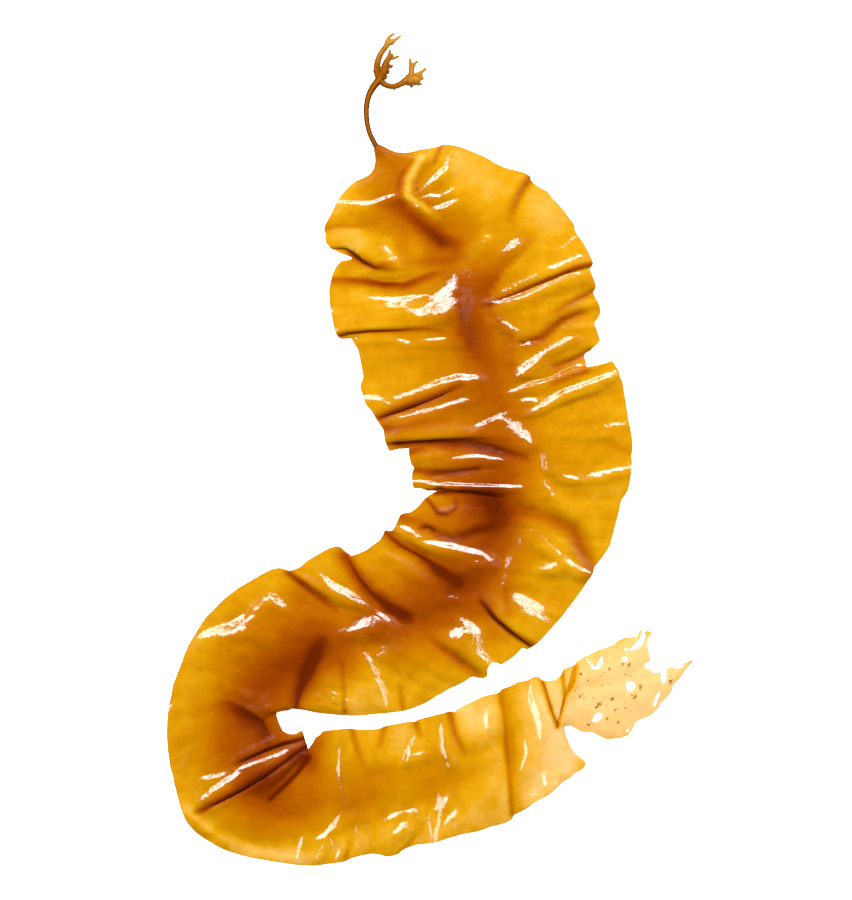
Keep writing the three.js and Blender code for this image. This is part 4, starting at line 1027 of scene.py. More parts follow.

# %% Painted shade in the folds: creases, and where the sheet would lie double or is seen on edge
FOLD_SHADE_STROKES = [
    (9, 12, [(379, 148, 0.1), (385, 158, 0.0), (390, 172, -0.05), (394, 186, -0.03)]),
    (8, 7, [(380, 203, 0.12), (398, 206, 0.2), (420, 224, 0.34), (442, 242, 0.42), (454, 245, 0.2)]),
    (4, 5, [(353, 254, 0.5), (366, 261, 0.5), (376, 266, 0.45), (390, 266, 0.2)]),
    (3, 3, [(326, 229, 0.15), (345, 226, 0.2), (372, 229, 0.08)]),
    (2, 6, [(332, 279, 0.3), (365, 279, 0.42), (385, 284, 0.5), (405, 284, 0.5), (430, 274, 0.3),
            (442, 272, 0.1)]),
    (3, 3, [(352, 282, 0.1), (372, 284, 0.16), (394, 283, 0.14)]),
    (6, 6, [(410, 262, 0.1), (440, 262, 0.14), (462, 258, 0.1)]),
    (2.5, 3.5, [(340, 334, 0.45), (350, 331, 0.5), (375, 330, 0.45), (400, 330, 0.36), (425, 328, 0.24),
                (442, 330, 0.1)]),
    (13, 2, [(456, 286, 0.16), (457, 310, 0.2), (460, 334, 0.2), (471, 353, 0.1)]),
    (2, 14, [(527, 247, 0.14), (506, 267, 0.22), (490, 290, 0.22), (486, 304, 0.1)]),
    (2, 9, [(489, 308, 0.12), (500, 322, 0.14), (514, 334, 0.1), (511, 352, 0.08), (516, 376, 0.06)]),
    (2.5, 2.5, [(441, 147, 0.3), (433, 165, 0.15)]),
    (3, 3, [(412, 160, 0.1), (401, 178, 0.16), (398, 192, 0.16), (404, 206, 0.1)]),
    (2.5, 2.5, [(427, 166, 0.06), (416, 184, 0.08), (418, 197, 0.1), (437, 212, 0.08)]),
    (4, 4, [(530, 178, 0.42), (520, 193, 0.36), (513, 209, 0.25), (510, 220, 0.1)]),
    (2.5, 2, [(592, 263, 0.35), (575, 267, 0.5), (545, 280, 0.55), (515, 293, 0.55), (490, 304, 0.4)]),
    (3, 3, [(594, 291, 0.35), (575, 301, 0.3), (555, 313, 0.2)]),
    (4, 5, [(582, 313, 0.25), (562, 321, 0.35), (542, 338, 0.4), (524, 344, 0.25)]),
    (3, 3, [(590, 351, 0.3), (570, 361, 0.35), (553, 367, 0.15)]),
    (3, 3, [(587, 371, 0.35), (572, 376, 0.25), (552, 384, 0.15)]),
    (4, 3.5, [(380, 418, 0.55), (395, 411, 0.6), (418, 403, 0.5), (440, 394, 0.4), (462, 384, 0.15)]),
    (5, 5, [(385, 429, 0.35), (402, 428, 0.2), (424, 423, 0.15), (448, 420, 0.08)]),
    (3, 7, [(398, 441, 0.6), (412, 440, 0.45), (440, 441, 0.55), (470, 441, 0.55), (492, 446, 0.45),
            (525, 456, 0.2)]),
    (4, 5, [(410, 452, 0.45), (422, 450, 0.2)]),
    (3, 4, [(413, 469, 0.35), (430, 472, 0.4), (452, 472, 0.4), (478, 468, 0.25)]),
    (3, 3, [(436, 492, 0.55), (448, 492, 0.4), (462, 491, 0.3), (490, 493, 0.25)]),
    (15, 17, [(470, 496, 0.2), (492, 500, 0.34), (500, 515, 0.3)]),
    (2, 2, [(427, 499, 0.35), (432, 505, 0.4), (438, 513, 0.4), (447, 514, 0.4), (455, 508, 0.3),
            (456, 500, 0.15)]),
    (2, 2, [(420, 529, 0.3), (426, 526, 0.35), (432, 527, 0.35), (434, 531, 0.2)]),
    (4, 5, [(400, 516, 0.25), (420, 522, 0.1), (440, 535, 0.3), (455, 539, 0.35), (478, 529, 0.25),
            (492, 527, 0.15)]),
    (6, 6, [(386, 531, 0.5), (400, 543, 0.45), (420, 553, 0.45), (440, 570, 0.5), (458, 582, 0.3)]),
    (5, 8, [(346, 556, 0.5), (356, 571, 0.5), (370, 590, 0.55), (390, 606, 0.55), (408, 616, 0.3)]),
    (3, 4, [(289, 573, 0.5), (305, 585, 0.5), (325, 600, 0.35), (336, 608, 0.15)]),
    (8, 8, [(592, 572, 0.3), (582, 550, 0.4), (572, 530, 0.38), (550, 518, 0.28), (522, 510, 0.15)]),
    (3, 3, [(530, 643, 0.6), (510, 631, 0.55), (494, 617, 0.5), (482, 602, 0.3)]),
    (5, 5, [(478, 676, 0.2), (455, 657, 0.35), (435, 643, 0.15)]),
    (4, 4, [(506, 590, 0.16), (508, 612, 0.12)]),
    (2.5, 2.5, [(345, 713, 0.25), (344, 690, 0.15), (342, 662, 0.1)]),
    (3, 3, [(403, 709, 0.2), (400, 685, 0.12)]),
    (7, 7, [(296, 700, 0.3), (306, 676, 0.45), (316, 655, 0.42), (322, 642, 0.2)]),
    (2, 2, [(297, 706, 0.4), (300, 690, 0.4), (312, 668, 0.3)]),
    (3, 9, [(228, 702, 0.2), (246, 711, 0.35), (262, 722, 0.35), (268, 735, 0.25)]),
    (3, 4, [(304, 738, 0.55), (290, 742, 0.4), (264, 751, 0.35), (240, 762, 0.2)]),
    (2.5, 5, [(304, 748, 0.6), (285, 761, 0.6), (262, 776, 0.6), (240, 790, 0.6), (215, 803, 0.6),
              (200, 812, 0.5)]),
    (10, 12, [(302, 756, 0.35), (280, 775, 0.3), (262, 790, 0.2)]),
    (2.5, 2.5, [(308, 758, 0.5), (298, 772, 0.5), (282, 788, 0.45), (270, 799, 0.3)]),
    (3, 3, [(352, 729, 0.25), (357, 750, 0.2), (364, 766, 0.06)]),
    (3, 3, [(384, 727, 0.25), (380, 746, 0.12)]),
    (2.5, 2.5, [(416, 722, 0.3), (420, 736, 0.15)]),
    (3, 4, [(450, 712, 0.35), (455, 732, 0.3), (464, 752, 0.12)]),
    (12, 4, [(501, 690, 0.12), (505, 716, 0.14), (506, 745, 0.18), (510, 772, 0.16), (512, 814, 0.06)]),
    (2.5, 2.5, [(500, 690, 0.16), (504, 716, 0.12), (506, 740, 0.16), (509, 772, 0.14), (512, 814, 0.26)]),
    (2.5, 2.5, [(542, 682, 0.35), (549, 708, 0.45), (556, 727, 0.55)]),
    (2.5, 2.5, [(577, 665, 0.2), (574, 682, 0.3), (566, 698, 0.35), (559, 724, 0.5)]),
    (2, 2, [(562, 672, 0.3), (564, 688, 0.25), (564, 700, 0.2)]),
    (4, 4, [(187, 816, 0.15), (204, 831, 0.12), (226, 845, 0.1)]),
    (3, 3, [(345, 860, 0.2), (350, 840, 0.1)]),
    (3, 3, [(400, 852, 0.2), (412, 840, 0.12), (424, 824, 0.06)]),
]
print("dark folds:", len(FOLD_SHADE_STROKES))

# %% Thin, pale places, and a few pale strokes that paint sheen
PALE_TISSUE_AND_SHEEN = [
    (14, 14, [(462, 702, -0.12), (474, 722, -0.12), (490, 708, -0.08)]),
    (16, 16, [(345, 775, -0.06), (330, 800, -0.06)]),
    (24, 24, [(598, 655, -0.1), (636, 650, -0.16), (676, 666, -0.16)]),
    (14, 14, [(606, 732, -0.08), (640, 724, -0.1)]),
    (7, 7, [(414, 240, -0.08), (418, 254, -0.12)]),
    (4, 4, [(388, 240, -0.08), (391, 256, -0.12)]),
    (7, 7, [(464, 264, -0.12), (474, 252, -0.14), (487, 236, -0.1)]),
    # Painted highlight: paler colour where the crests near (355, 620) and (370, 660) shine.
    (20, 20, [(350, 625, -0.12), (368, 650, -0.18), (370, 690, -0.09)]),
    (10, 10, [(400, 552, -0.06), (440, 558, -0.08), (472, 566, -0.08)]),
    (16, 16, [(330, 680, -0.08), (345, 700, -0.08)]),
    (18, 18, [(400, 740, -0.06), (408, 765, -0.08), (395, 800, -0.05)]),
    (14, 14, [(330, 815, -0.08), (345, 840, -0.06)]),
    (8, 8, [(232, 772, -0.08), (216, 785, -0.08)]),
    (26, 26, [(338, 195, -0.08), (350, 215, -0.08), (365, 245, -0.06)]),
    (20, 20, [(415, 165, -0.06), (460, 165, -0.08), (500, 190, -0.04)]),
    (22, 22, [(545, 205, -0.1), (560, 235, -0.07)]),
    # Painted sheen: the soft shine along the raised ridge below the stipe, as paler colour.
    (4, 4, [(421, 158, -0.24), (408, 180, -0.36), (407, 196, -0.42), (427, 210, -0.36), (437, 218, -0.16)]),
    (8, 8, [(190, 815, -0.1), (215, 838, -0.1), (250, 850, -0.14), (300, 858, -0.12)]),
    (30, 30, [(360, 750, -0.04), (420, 750, -0.06), (380, 790, -0.05)]),
    (14, 14, [(462, 262, -0.06), (490, 246, -0.06)]),
    (6, 6, [(484, 312, -0.08), (500, 328, -0.08)]),
    # Painted sheen: paler colour along the lit crest beside the glints from (395, 524) to (491, 561).
    (7, 7, [(388, 530, -0.14), (420, 544, -0.12), (455, 550, -0.1), (486, 560, -0.1)]),
    (14, 14, [(425, 580, -0.06), (455, 598, -0.06)]),
    (5, 5, [(350, 562, -0.08), (372, 596, -0.12), (392, 622, -0.08)]),
    (26, 26, [(480, 715, -0.06), (496, 780, -0.08), (470, 818, -0.06)]),
    (26, 26, [(540, 700, -0.12), (560, 765, -0.2), (535, 790, -0.16)]),
    (20, 20, [(300, 850, -0.06), (360, 840, -0.06), (420, 825, -0.07)]),
    (40, 40, [(590, 700, -0.22), (650, 690, -0.26)]),
    (16, 16, [(250, 600, -0.02), (200, 650, -0.04), (178, 700, -0.05), (176, 760, -0.05), (192, 815, -0.04)]),
]
print("pale places:", len(PALE_TISSUE_AND_SHEEN))

# %% Dark specks of decay: (x, y, radius)
SPECKS = [
    (622, 665, 1.6), (628, 665, 1.8), (609, 668, 1.4), (604, 672, 1.3), (601, 675, 1.4), (580, 674, 1.3),
    (588, 681, 1.2), (609, 682, 1.6), (640, 687, 1.9), (632, 695, 1.9), (636, 695, 1.4), (612, 699, 1.9),
    (598, 704, 2.4), (600, 702, 1.8), (580, 697, 1.5), (584, 698, 1.2), (593, 698, 1.2), (571, 690, 1.4),
    (573, 687, 1.5), (577, 686, 1.6), (575, 690, 1.4), (618, 721, 1.5), (607, 718, 1.3), (630, 677, 1.4),
    (584, 726, 1.4), (588, 724, 1.2), (615, 710, 1.2), (625, 708, 1.2), (670, 681, 1.8), (596, 707, 1.3),
    (486, 735, 1.4), (514, 790, 1.3), (509, 797, 1.6), (484, 797, 1.8), (495, 793, 1.3), (486, 785, 1.2),
    (482, 812, 1.1), (454, 790, 1.0), (443, 805, 1.0), (609, 740, 1.4), (568, 700, 1.2), (561, 712, 1.2),
]
print("specks:", len(SPECKS))

# %% Density and specks at each corner
THIN_TISSUE = 0.22
TORN_END = (572, 750)
density = THIN_TISSUE + 0.85 * painted(page_x, page_y, MIDDLE_BAND) + painted(page_x, page_y, BROAD_BAND)
# Painted shade in the folds and creases.
density += painted(page_x, page_y, FOLD_SHADE_STROKES)
# Painted shadow: a dark line just beyond each leaning lip, on the sheet that it hides.
for left, right, points, (dx, dy) in LIPS:
    lip_shadow_line = []
    for x, y, push in points:
        lip_shadow_line.append((x + dx * (push + 1.2), y + dy * (push + 1.2), 0.16 * min(abs(push), 3)))
    density += painted(page_x, page_y, [(1.3, 1.3, lip_shadow_line)])
# Thin, pale tissue, and painted sheen on a few crests.
density += painted(page_x, page_y, PALE_TISSUE_AND_SHEEN)
# The streaks are painted paler where they rise, as light on their crests.
density -= STREAK_SHADE * streaks * np.clip(np.abs(across) * 1.6, 0.3, 1)
speck = sum(np.exp(-(((page_x - x) ** 2 + (page_y - y) ** 2) / (1.3 * r) ** 2)) for x, y, r in SPECKS)
decay = 0.33 / (1 + np.exp((TORN_END[0] - page_x) / 4)) * (page_y < TORN_END[1])
speck = np.clip(0.3 * speck + decay, 0, 1.2)
margin_distance = (1 - np.abs(across)) * width * 0.5 * SQUARE / MM
print("density from", round(float(density.min()), 2), "to", round(float(density.max()), 2))

# %% Store these values on the mesh
THICKEST = 2.2


def store(mesh, name, values):
    """Keeps one number for each corner, where a material can read it."""
    kept_numbers = mesh.attributes.new(name, "FLOAT", "POINT")
    kept_numbers.data.foreach_set("value", grid_order(values).astype(np.float32))


# The density carries painted shade and sheen as well as the tissue's own tone.
store(blade.data, "density_and_painted_light", density)
store(blade.data, "speck", speck)
store(blade.data, "margin_mm", margin_distance)
store(blade.data, "water_film", film)
uv = blade.data.uv_layers.active or blade.data.uv_layers.new(name="along_the_blade")
uv.name = "along_the_blade"
corner_uv = np.column_stack([grid_order(along), grid_order(across * width * 0.5)]) * SQUARE / MM / 10
uv.data.foreach_set("uv", corner_uv[loops].ravel())
thick_group = blade.vertex_groups.new(name="thickness")
percent = np.round(np.clip(grid_order(thickness) / THICKEST, 0, 1) * 100).astype(int)
for level in range(1, 101):
    members = np.nonzero(percent == level)[0]
    if len(members):
        thick_group.add(members.tolist(), level / 100, "REPLACE")
print("stored:", [a.name for a in blade.data.attributes if not a.name.startswith(".")])

# %% Delete the torn faces and give the sheet its thickness
bpy.ops.object.mode_set(mode="EDIT")
bpy.ops.mesh.delete(type="FACE")
bpy.ops.mesh.select_all(action="DESELECT")
bpy.ops.mesh.select_loose()
bpy.ops.mesh.delete(type="VERT")
bpy.ops.object.mode_set(mode="OBJECT")
wall = blade.modifiers.new("sheet_thickness", "SOLIDIFY")
wall.thickness = THICKEST * MM
wall.offset = -1
wall.vertex_group = thick_group.name
bpy.ops.object.modifier_apply(modifier=wall.name)
bpy.ops.object.shade_smooth_by_angle(angle=math.radians(55))
print("blade faces:", len(blade.data.polygons))

# %% Press the lowest corners onto the table
corners = np.empty(len(blade.data.vertices) * 3)
blade.data.vertices.foreach_get("co", corners)
corners[2::3] = np.maximum(corners[2::3], 0.0)
blade.data.vertices.foreach_set("co", corners)
blade.data.update()
print("lowest point:", round(corners[2::3].min() / MM, 2), "mm")

# %% [markdown]
# ## Stipe and haptera
# The stipe is a tough round stalk, and the haptera are its first rootlets. Each limb is drawn as a curve with
# its own radius at every point. The limbs of one piece are joined and remeshed into a single skin, which
# rounds the forks as growth does. Separate tubes would show a hard seam at every fork. Each corner also keeps
# how far its skin leans away from straight up or down, which the material reads to paint shade on the flanks.

# %% One limb as a curve
def limb(name, points):
    """A round limb through (x, y, height in mm, radius in mm) points, as a mesh object."""
    curve = bpy.data.curves.new(name, "CURVE")
    curve.dimensions = "3D"
    curve.bevel_depth = 1.0
    curve.bevel_resolution = 6
    curve.resolution_u = 8
    curve.use_fill_caps = True
    spline = curve.splines.new("NURBS")
    spline.points.add(len(points) - 1)
    for point, (x, y, z, radius) in zip(spline.points, points):
        point.co = (*lay(x, y, max(z, radius) * MM), 1.0)
        point.radius = radius * MM
    spline.order_u = min(4, len(points))
    spline.use_endpoint_u = True
    made = bpy.data.objects.new(name, curve)
    bpy.context.collection.objects.link(made)
    bpy.ops.object.select_all(action="DESELECT")
    made.select_set(True)
    bpy.context.view_layer.objects.active = made
    bpy.ops.object.convert(target="MESH")
    return bpy.context.object


def grown_together(name, limbs, lumps=(), voxel=0.14):
    """Joins limbs and small round lumps, and remeshes them into one smooth skin."""
    made = [limb(f"{name}_{i}", points) for i, points in enumerate(limbs)]
    for x, y, z, radius in lumps:
        middle = lay(x, y, max(z, radius) * MM)
        bpy.ops.mesh.primitive_ico_sphere_add(subdivisions=3, radius=radius * MM, location=middle)
        made.append(bpy.context.object)
    bpy.ops.object.select_all(action="DESELECT")
    for part in made:
        part.select_set(True)
    bpy.context.view_layer.objects.active = made[0]
    bpy.ops.object.join()
    piece = bpy.context.object
    piece.name = name
    piece.data.name = name
    bpy.ops.object.transform_apply(location=True, rotation=True, scale=True)
    skin = piece.modifiers.new("one_skin", "REMESH")
    skin.mode = "VOXEL"
    skin.voxel_size = voxel * MM
    bpy.ops.object.modifier_apply(modifier=skin.name)
    smooth = piece.modifiers.new("rounded_forks", "SMOOTH")
    smooth.factor = 0.5
    smooth.iterations = 4
    bpy.ops.object.modifier_apply(modifier=smooth.name)
    bpy.ops.object.shade_smooth()
    normals = np.empty(len(piece.data.vertices) * 3)
    piece.data.vertices.foreach_get("normal", normals)
    # Kept for the painted shade on the flanks.
    store(piece.data, "flank", 1 - np.abs(normals[2::3]))
    print(name, len(piece.data.polygons), "faces")
    return piece


# %% The stipe
stipe = grown_together("stipe_stalk", [
    [(384.5, 162, 1.0, 0.5), (381.2, 156, 1.15, 0.95), (378.2, 150, 1.2, 1.15), (374.6, 143.5, 1.2, 1.08),
     (370, 135, 1.2, 1.02), (367.2, 125, 1.2, 1.04), (366.2, 115, 1.2, 1.1), (366.4, 106, 1.2, 1.14),
     (368, 97, 1.2, 1.2), (371.6, 89.5, 1.25, 1.35), (376.4, 83, 1.3, 1.55), (379.6, 79.6, 1.3, 1.5),
     (380.8, 77.5, 1.3, 1.2)],
])

# %% The three haptera
long_hapteron = grown_together("hapteron_long", [
    [(379, 79, 1.3, 1.3), (377, 74, 1.3, 1.42), (376.6, 68, 1.3, 1.4), (378, 59, 1.3, 1.3),
     (382, 51.5, 1.3, 1.15), (386.5, 46, 1.4, 1.15), (390, 42, 1.4, 1.1), (393, 40.5, 1.4, 0.7)],
    [(386, 46, 1.3, 1.0), (386.8, 41, 1.3, 0.8), (388.6, 37.6, 1.3, 0.72), (391.5, 35, 1.2, 0.62),
     (394.8, 33.6, 1.1, 0.5)],
    [(391, 43.5, 1.2, 1.1), (394, 40.8, 1.3, 0.75), (397.3, 38, 1.2, 0.58), (401.2, 36, 1.1, 0.46)],
], [(391.5, 42.5, 1.3, 1.2), (376.3, 71, 1.3, 1.35)])
short_hapteron = grown_together("hapteron_short", [
    [(381, 79, 1.3, 1.3), (383, 74, 1.5, 1.7), (384.5, 69, 1.6, 1.65), (386, 63, 1.5, 1.3),
     (388.8, 58, 1.4, 1.2), (390.8, 55, 1.4, 1.0)],
    [(390, 57, 1.4, 0.9), (389.6, 53.5, 1.4, 0.6), (389.8, 49.8, 1.3, 0.5)],
    [(390, 57.5, 1.4, 0.9), (392, 55.5, 1.4, 0.62), (393.2, 54.2, 1.4, 0.5)],
    [(389.5, 58, 1.4, 0.9), (393, 58.7, 1.3, 0.66), (395.8, 58.2, 1.3, 0.6), (399, 56, 1.2, 0.45)],
    [(384.5, 68, 1.5, 1.2), (388, 67, 1.5, 0.9), (391, 66, 1.4, 0.8), (393, 66.8, 1.3, 0.66)],
], [(388, 71.4, 1.3, 0.8), (388.4, 73, 1.2, 0.6), (384.4, 77, 1.3, 1.25), (382, 70, 1.7, 1.3)])
curved_hapteron = grown_together("hapteron_curved", [
    [(380, 80.5, 1.3, 1.3), (384, 84.3, 1.2, 1.25), (388, 86.3, 1.2, 1.15), (393, 86.8, 1.2, 1.15),
     (398, 85.8, 1.2, 1.2), (402, 83.4, 1.2, 1.3), (406, 80.8, 1.4, 1.6), (412, 79, 1.6, 2.0),
     (417, 79, 1.5, 1.7), (421, 79.5, 1.2, 0.9)],
    [(405, 82.4, 1.3, 1.1), (410, 83.4, 1.4, 1.5), (416, 82.6, 1.3, 1.4), (420.2, 82, 1.2, 0.9)],
    [(411, 80, 1.4, 1.7), (411.4, 74, 1.4, 1.35), (411.6, 69, 1.4, 1.1), (410.4, 64, 1.3, 0.75),
     (409.6, 58.4, 1.2, 0.58)],
    [(411.8, 69.5, 1.3, 1.0), (413.2, 65.4, 1.3, 0.7), (415.2, 62.6, 1.3, 0.6), (418, 61.2, 1.2, 0.55)],
    [(413, 78, 1.5, 1.5), (418, 75, 1.4, 1.0), (422, 72, 1.3, 0.72), (426, 68.4, 1.2, 0.66)],
], [
    (411, 81, 1.4, 2.1), (416, 80.6, 1.3, 1.8), (411.5, 86.6, 1.0, 0.7), (418.5, 84, 1.1, 0.85),
    (421, 84.4, 0.9, 0.55), (422.4, 78.6, 1.2, 0.7), (421.6, 76.6, 1.2, 0.7), (394.4, 89.2, 0.8, 0.45),
    (407.6, 77.4, 1.5, 1.1),
])

# %% [markdown]
# ## Wet skin, a finish that every part shares
# Everything on a fresh frond is wet. A thin film of water lies over fine wrinkles, so reflections are bright
# and break up at their edges. The wrinkles are a group of nodes, built once, with the film's roughness as a
# second output. Each material then sets how fine and how strong they are.

# %% Node helpers
def node(tree, kind, place, values=None, **settings):
    """Adds a node at a place in the editor, with its settings and the values of its sockets."""
    made = tree.nodes.new(kind)
    made.location = place
    for name, value in settings.items():
        setattr(made, name, value)
    for socket, value in (values or {}).items():
        made.inputs[socket].default_value = value
    return made


def link(tree, source, *targets):
    for target in targets:
        tree.links.new(source, target)


def read(tree, place, name):
    """A number that is stored on the mesh."""
    return node(tree, "ShaderNodeAttribute", place, attribute_name=name).outputs["Fac"]


def grain(tree, place, vector, **values):
    """A noise that follows the vector."""
    made = node(tree, "ShaderNodeTexNoise", place, {name.title(): value for name, value in values.items()})
    link(tree, vector, made.inputs["Vector"])
    return made.outputs["Fac"]


def stretch(tree, place, source, old, new):
    """Turns the old range, (lowest, highest), into the new one."""
    values = dict(zip(("From Min", "From Max", "To Min", "To Max"), (*old, *new)))
    made = node(tree, "ShaderNodeMapRange", place, values)
    link(tree, source, made.inputs["Value"])
    return made.outputs["Result"]


def added(tree, place, first, second, **settings):
    """The sum of two numbers."""
    made = node(tree, "ShaderNodeMath", place, operation="ADD", **settings)
    link(tree, first, made.inputs[0])
    link(tree, second, made.inputs[1])
    return made.outputs["Value"]


def blend(tree, place, share, first, second):
    """A colour between two, each a colour or a socket."""
    made = node(tree, "ShaderNodeMix", place, data_type="RGBA")
    link(tree, share, made.inputs[0])
    for number, colour in ((6, first), (7, second)):
        if isinstance(colour, tuple):
            made.inputs[number].default_value = colour
        else:
            link(tree, colour, made.inputs[number])
    return made.outputs[2]


print("node helpers ready")

# %% The shared wet skin group
def wet_skin_group():
    group = bpy.data.node_groups.new("wet_skin", "ShaderNodeTree")
    face = group.interface
    face.new_socket("Vector", in_out="INPUT", socket_type="NodeSocketVector")
    for name, default in (("Wrinkle Scale", 400.0), ("Wrinkle Depth", 0.3), ("Roughness", 0.2)):
        face.new_socket(name, in_out="INPUT", socket_type="NodeSocketFloat").default_value = default
    face.new_socket("Roughness", in_out="OUTPUT", socket_type="NodeSocketFloat")
    face.new_socket("Normal", in_out="OUTPUT", socket_type="NodeSocketVector")
    given = node(group, "NodeGroupInput", (-900, 0))
    wrinkle = node(group, "ShaderNodeTexNoise", (-600, 100), {"Detail": 4.0, "Roughness": 0.55})
    patch = grain(group, (-600, -200), given.outputs["Vector"], scale=90.0)
    spread = stretch(group, (-350, -200), patch, (0.35, 0.75), (0.75, 1.7))
    rough = node(group, "ShaderNodeMath", (-120, -200), operation="MULTIPLY")
    bump = node(group, "ShaderNodeBump", (-120, 100), {"Distance": 0.0008})
    given_out = node(group, "NodeGroupOutput", (120, 0))
    link(group, given.outputs["Vector"], wrinkle.inputs["Vector"])
    link(group, given.outputs["Wrinkle Scale"], wrinkle.inputs["Scale"])
    link(group, given.outputs["Wrinkle Depth"], bump.inputs["Strength"])
    link(group, wrinkle.outputs["Fac"], bump.inputs["Height"])
    link(group, spread, rough.inputs[0])
    link(group, given.outputs["Roughness"], rough.inputs[1])
    link(group, rough.outputs["Value"], given_out.inputs["Roughness"])
    link(group, bump.outputs["Normal"], given_out.inputs["Normal"])
    return group


wet_skin = wet_skin_group()
print("group:", wet_skin.name, [i.name for i in wet_skin.interface.items_tree])

# %% [markdown]
# ## The blade's material
# The colour comes from the density on the mesh, through a ramp from bleached yellow over amber to a dark
# brown, with fine mottling on top. A quarter to a half of the light passes through, most where the sheet is
# thin, because a kelp blade glows when light comes from behind. Water lies on it as a coat, clear and bright
# in the glints and dull elsewhere, because a coat over the whole sheet would turn it milky.

# %% A new material
def new_material(name):
    """An empty material, and its tree of nodes."""
    made = bpy.data.materials.new(name)
    made.use_nodes = True
    made.node_tree.nodes.clear()
    return made, made.node_tree


blade_material, tree = new_material("kelp_blade")
place_on_blade = node(tree, "ShaderNodeTexCoord", (-1900, -300)).outputs["Object"]
print("new material:", blade_material.name)

# %% Blade colour from the density, with mottling and a rim painted browner as shade
BLADE_RAMP = [
    (0.0, (0.72, 0.53, 0.23, 1)), (0.1, (0.67, 0.42, 0.07, 1)), (0.2, (0.58, 0.305, 0.003, 1)),
    (0.3, (0.48, 0.204, 0.0, 1)), (0.45, (0.39, 0.12, 0.0, 1)), (0.6, (0.29, 0.062, 0.0, 1)),
    (0.8, (0.18, 0.026, 0.0, 1)), (1.0, (0.1, 0.011, 0.0, 1)),
]
MOTTLING = 0.045
RIM_MM = 0.55
RIM_SHADE_BROWN = 0.06
mottle = grain(tree, (-1500, 480), place_on_blade, scale=160.0, detail=6.0, roughness=0.62)
mottle_shift = stretch(tree, (-1280, 480), mottle, (0.3, 0.7), (-MOTTLING, MOTTLING))
# Painted shade: within RIM_MM of the edge the sheet turns browner, as a thin edge looks when seen on edge.
painted_rim_shade = stretch(tree, (-1280, -80), read(tree, (-1500, -80), "margin_mm"), (0.0, RIM_MM), (RIM_SHADE_BROWN, 0.0))
with_mottle = added(tree, (-1060, 300), read(tree, (-1500, 200), "density_and_painted_light"), mottle_shift)
brownness = added(tree, (-880, 300), with_mottle, painted_rim_shade)
ramp = node(tree, "ShaderNodeValToRGB", (-680, 300))
first_stop, last_stop = ramp.color_ramp.elements
first_stop.position, first_stop.color = BLADE_RAMP[0]
last_stop.position, last_stop.color = BLADE_RAMP[-1]
for position, colour in BLADE_RAMP[1:-1]:
    ramp.color_ramp.elements.new(position).color = colour
link(tree, brownness, ramp.inputs["Fac"])
print("stops of the ramp:", len(ramp.color_ramp.elements))

# %% Dark specks, drawn out a little along the tip
SPECK_BROWN = (0.34, 0.18, 0.015, 1)
SPECK_TURN = math.radians(35)
speck_turn = node(
    tree, "ShaderNodeMapping", (-1480, -300), {"Rotation": (0, 0, SPECK_TURN), "Scale": (1.6, 0.8, 1)},
    vector_type="TEXTURE")
link(tree, place_on_blade, speck_turn.inputs["Vector"])
speck_grain = grain(tree, (-1280, -300), speck_turn.outputs["Vector"], scale=650.0, detail=3.0)
speck_sum = added(tree, (-880, -60), read(tree, (-900, -120), "speck"), speck_grain)
speck_mask = stretch(tree, (-680, -60), speck_sum, (1.0, 1.09), (0.0, 1.0))
blade_colour = blend(tree, (-360, 200), speck_mask, ramp.outputs["Color"], SPECK_BROWN)
print("speck colour:", SPECK_BROWN)

# %% Water film: its weight and roughness
FILM_EDGE = (1.2, 1.38)
film_grain = grain(tree, (-1500, -900), place_on_blade, scale=800.0, detail=4.0, roughness=0.7)
film_sum = node(tree, "ShaderNodeMath", (-1280, -800), {1: 1.6}, operation="MULTIPLY_ADD")
link(tree, film_grain, film_sum.inputs[0])
link(tree, read(tree, (-1500, -700), "water_film"), film_sum.inputs[2])
film_weight = stretch(tree, (-1060, -720), film_sum.outputs["Value"], FILM_EDGE, (0.012, 1.0))
film_rough = stretch(tree, (-1060, -960), film_sum.outputs["Value"], FILM_EDGE, (0.3, 0.05))
print("the film begins at", FILM_EDGE[0])

# %% Put the blade's skin and its glow together
skin = node(
    tree, "ShaderNodeGroup", (-700, -300), {"Wrinkle Scale": 330.0, "Wrinkle Depth": 0.35, "Roughness": 0.16},
    node_tree=wet_skin)
gloss = node(tree, "ShaderNodeBsdfPrincipled", (-60, 200), {"Specular IOR Level": 0.05, "Coat IOR": 1.8})
glow = node(tree, "ShaderNodeBsdfTranslucent", (-60, -500))
mixed = node(tree, "ShaderNodeMixShader", (280, 100))
output = node(tree, "ShaderNodeOutputMaterial", (500, 100))
let_through = stretch(tree, (-60, 480), brownness, (0.0, 0.7), (0.5, 0.25))
link(tree, place_on_blade, skin.inputs["Vector"])
link(tree, blade_colour, gloss.inputs["Base Color"], glow.inputs["Color"])
link(tree, film_weight, gloss.inputs["Coat Weight"])
link(tree, film_rough, gloss.inputs["Coat Roughness"])
link(tree, skin.outputs["Roughness"], gloss.inputs["Roughness"])
link(tree, skin.outputs["Normal"], gloss.inputs["Normal"], gloss.inputs["Coat Normal"])
link(tree, let_through, mixed.inputs["Fac"])
link(tree, gloss.outputs["BSDF"], mixed.inputs[1])
link(tree, glow.outputs["BSDF"], mixed.inputs[2])
link(tree, mixed.outputs["Shader"], output.inputs["Surface"])
print("blade material nodes:", len(tree.nodes))

# %% [markdown]
# ## The stipe's and the holdfast's materials
# The stipe is dark red-brown and smooth; its flanks, and faintly the haptera's, are painted darker as shade,
# where the eye meets most tissue.
# The haptera are the same tissue, but younger and paler towards their tips, so their colour follows the
# distance from the place where they meet. One function makes both, because only a few values differ.

# %% Stipe and holdfast materials
# The darker brown that paints shade on the limbs' flanks.
FLANK_SHADE_BROWN = (0.03, 0.006, 0.0, 1)
FLANK_WIDTH = 0.28
LIMB_GLOW = 0.4


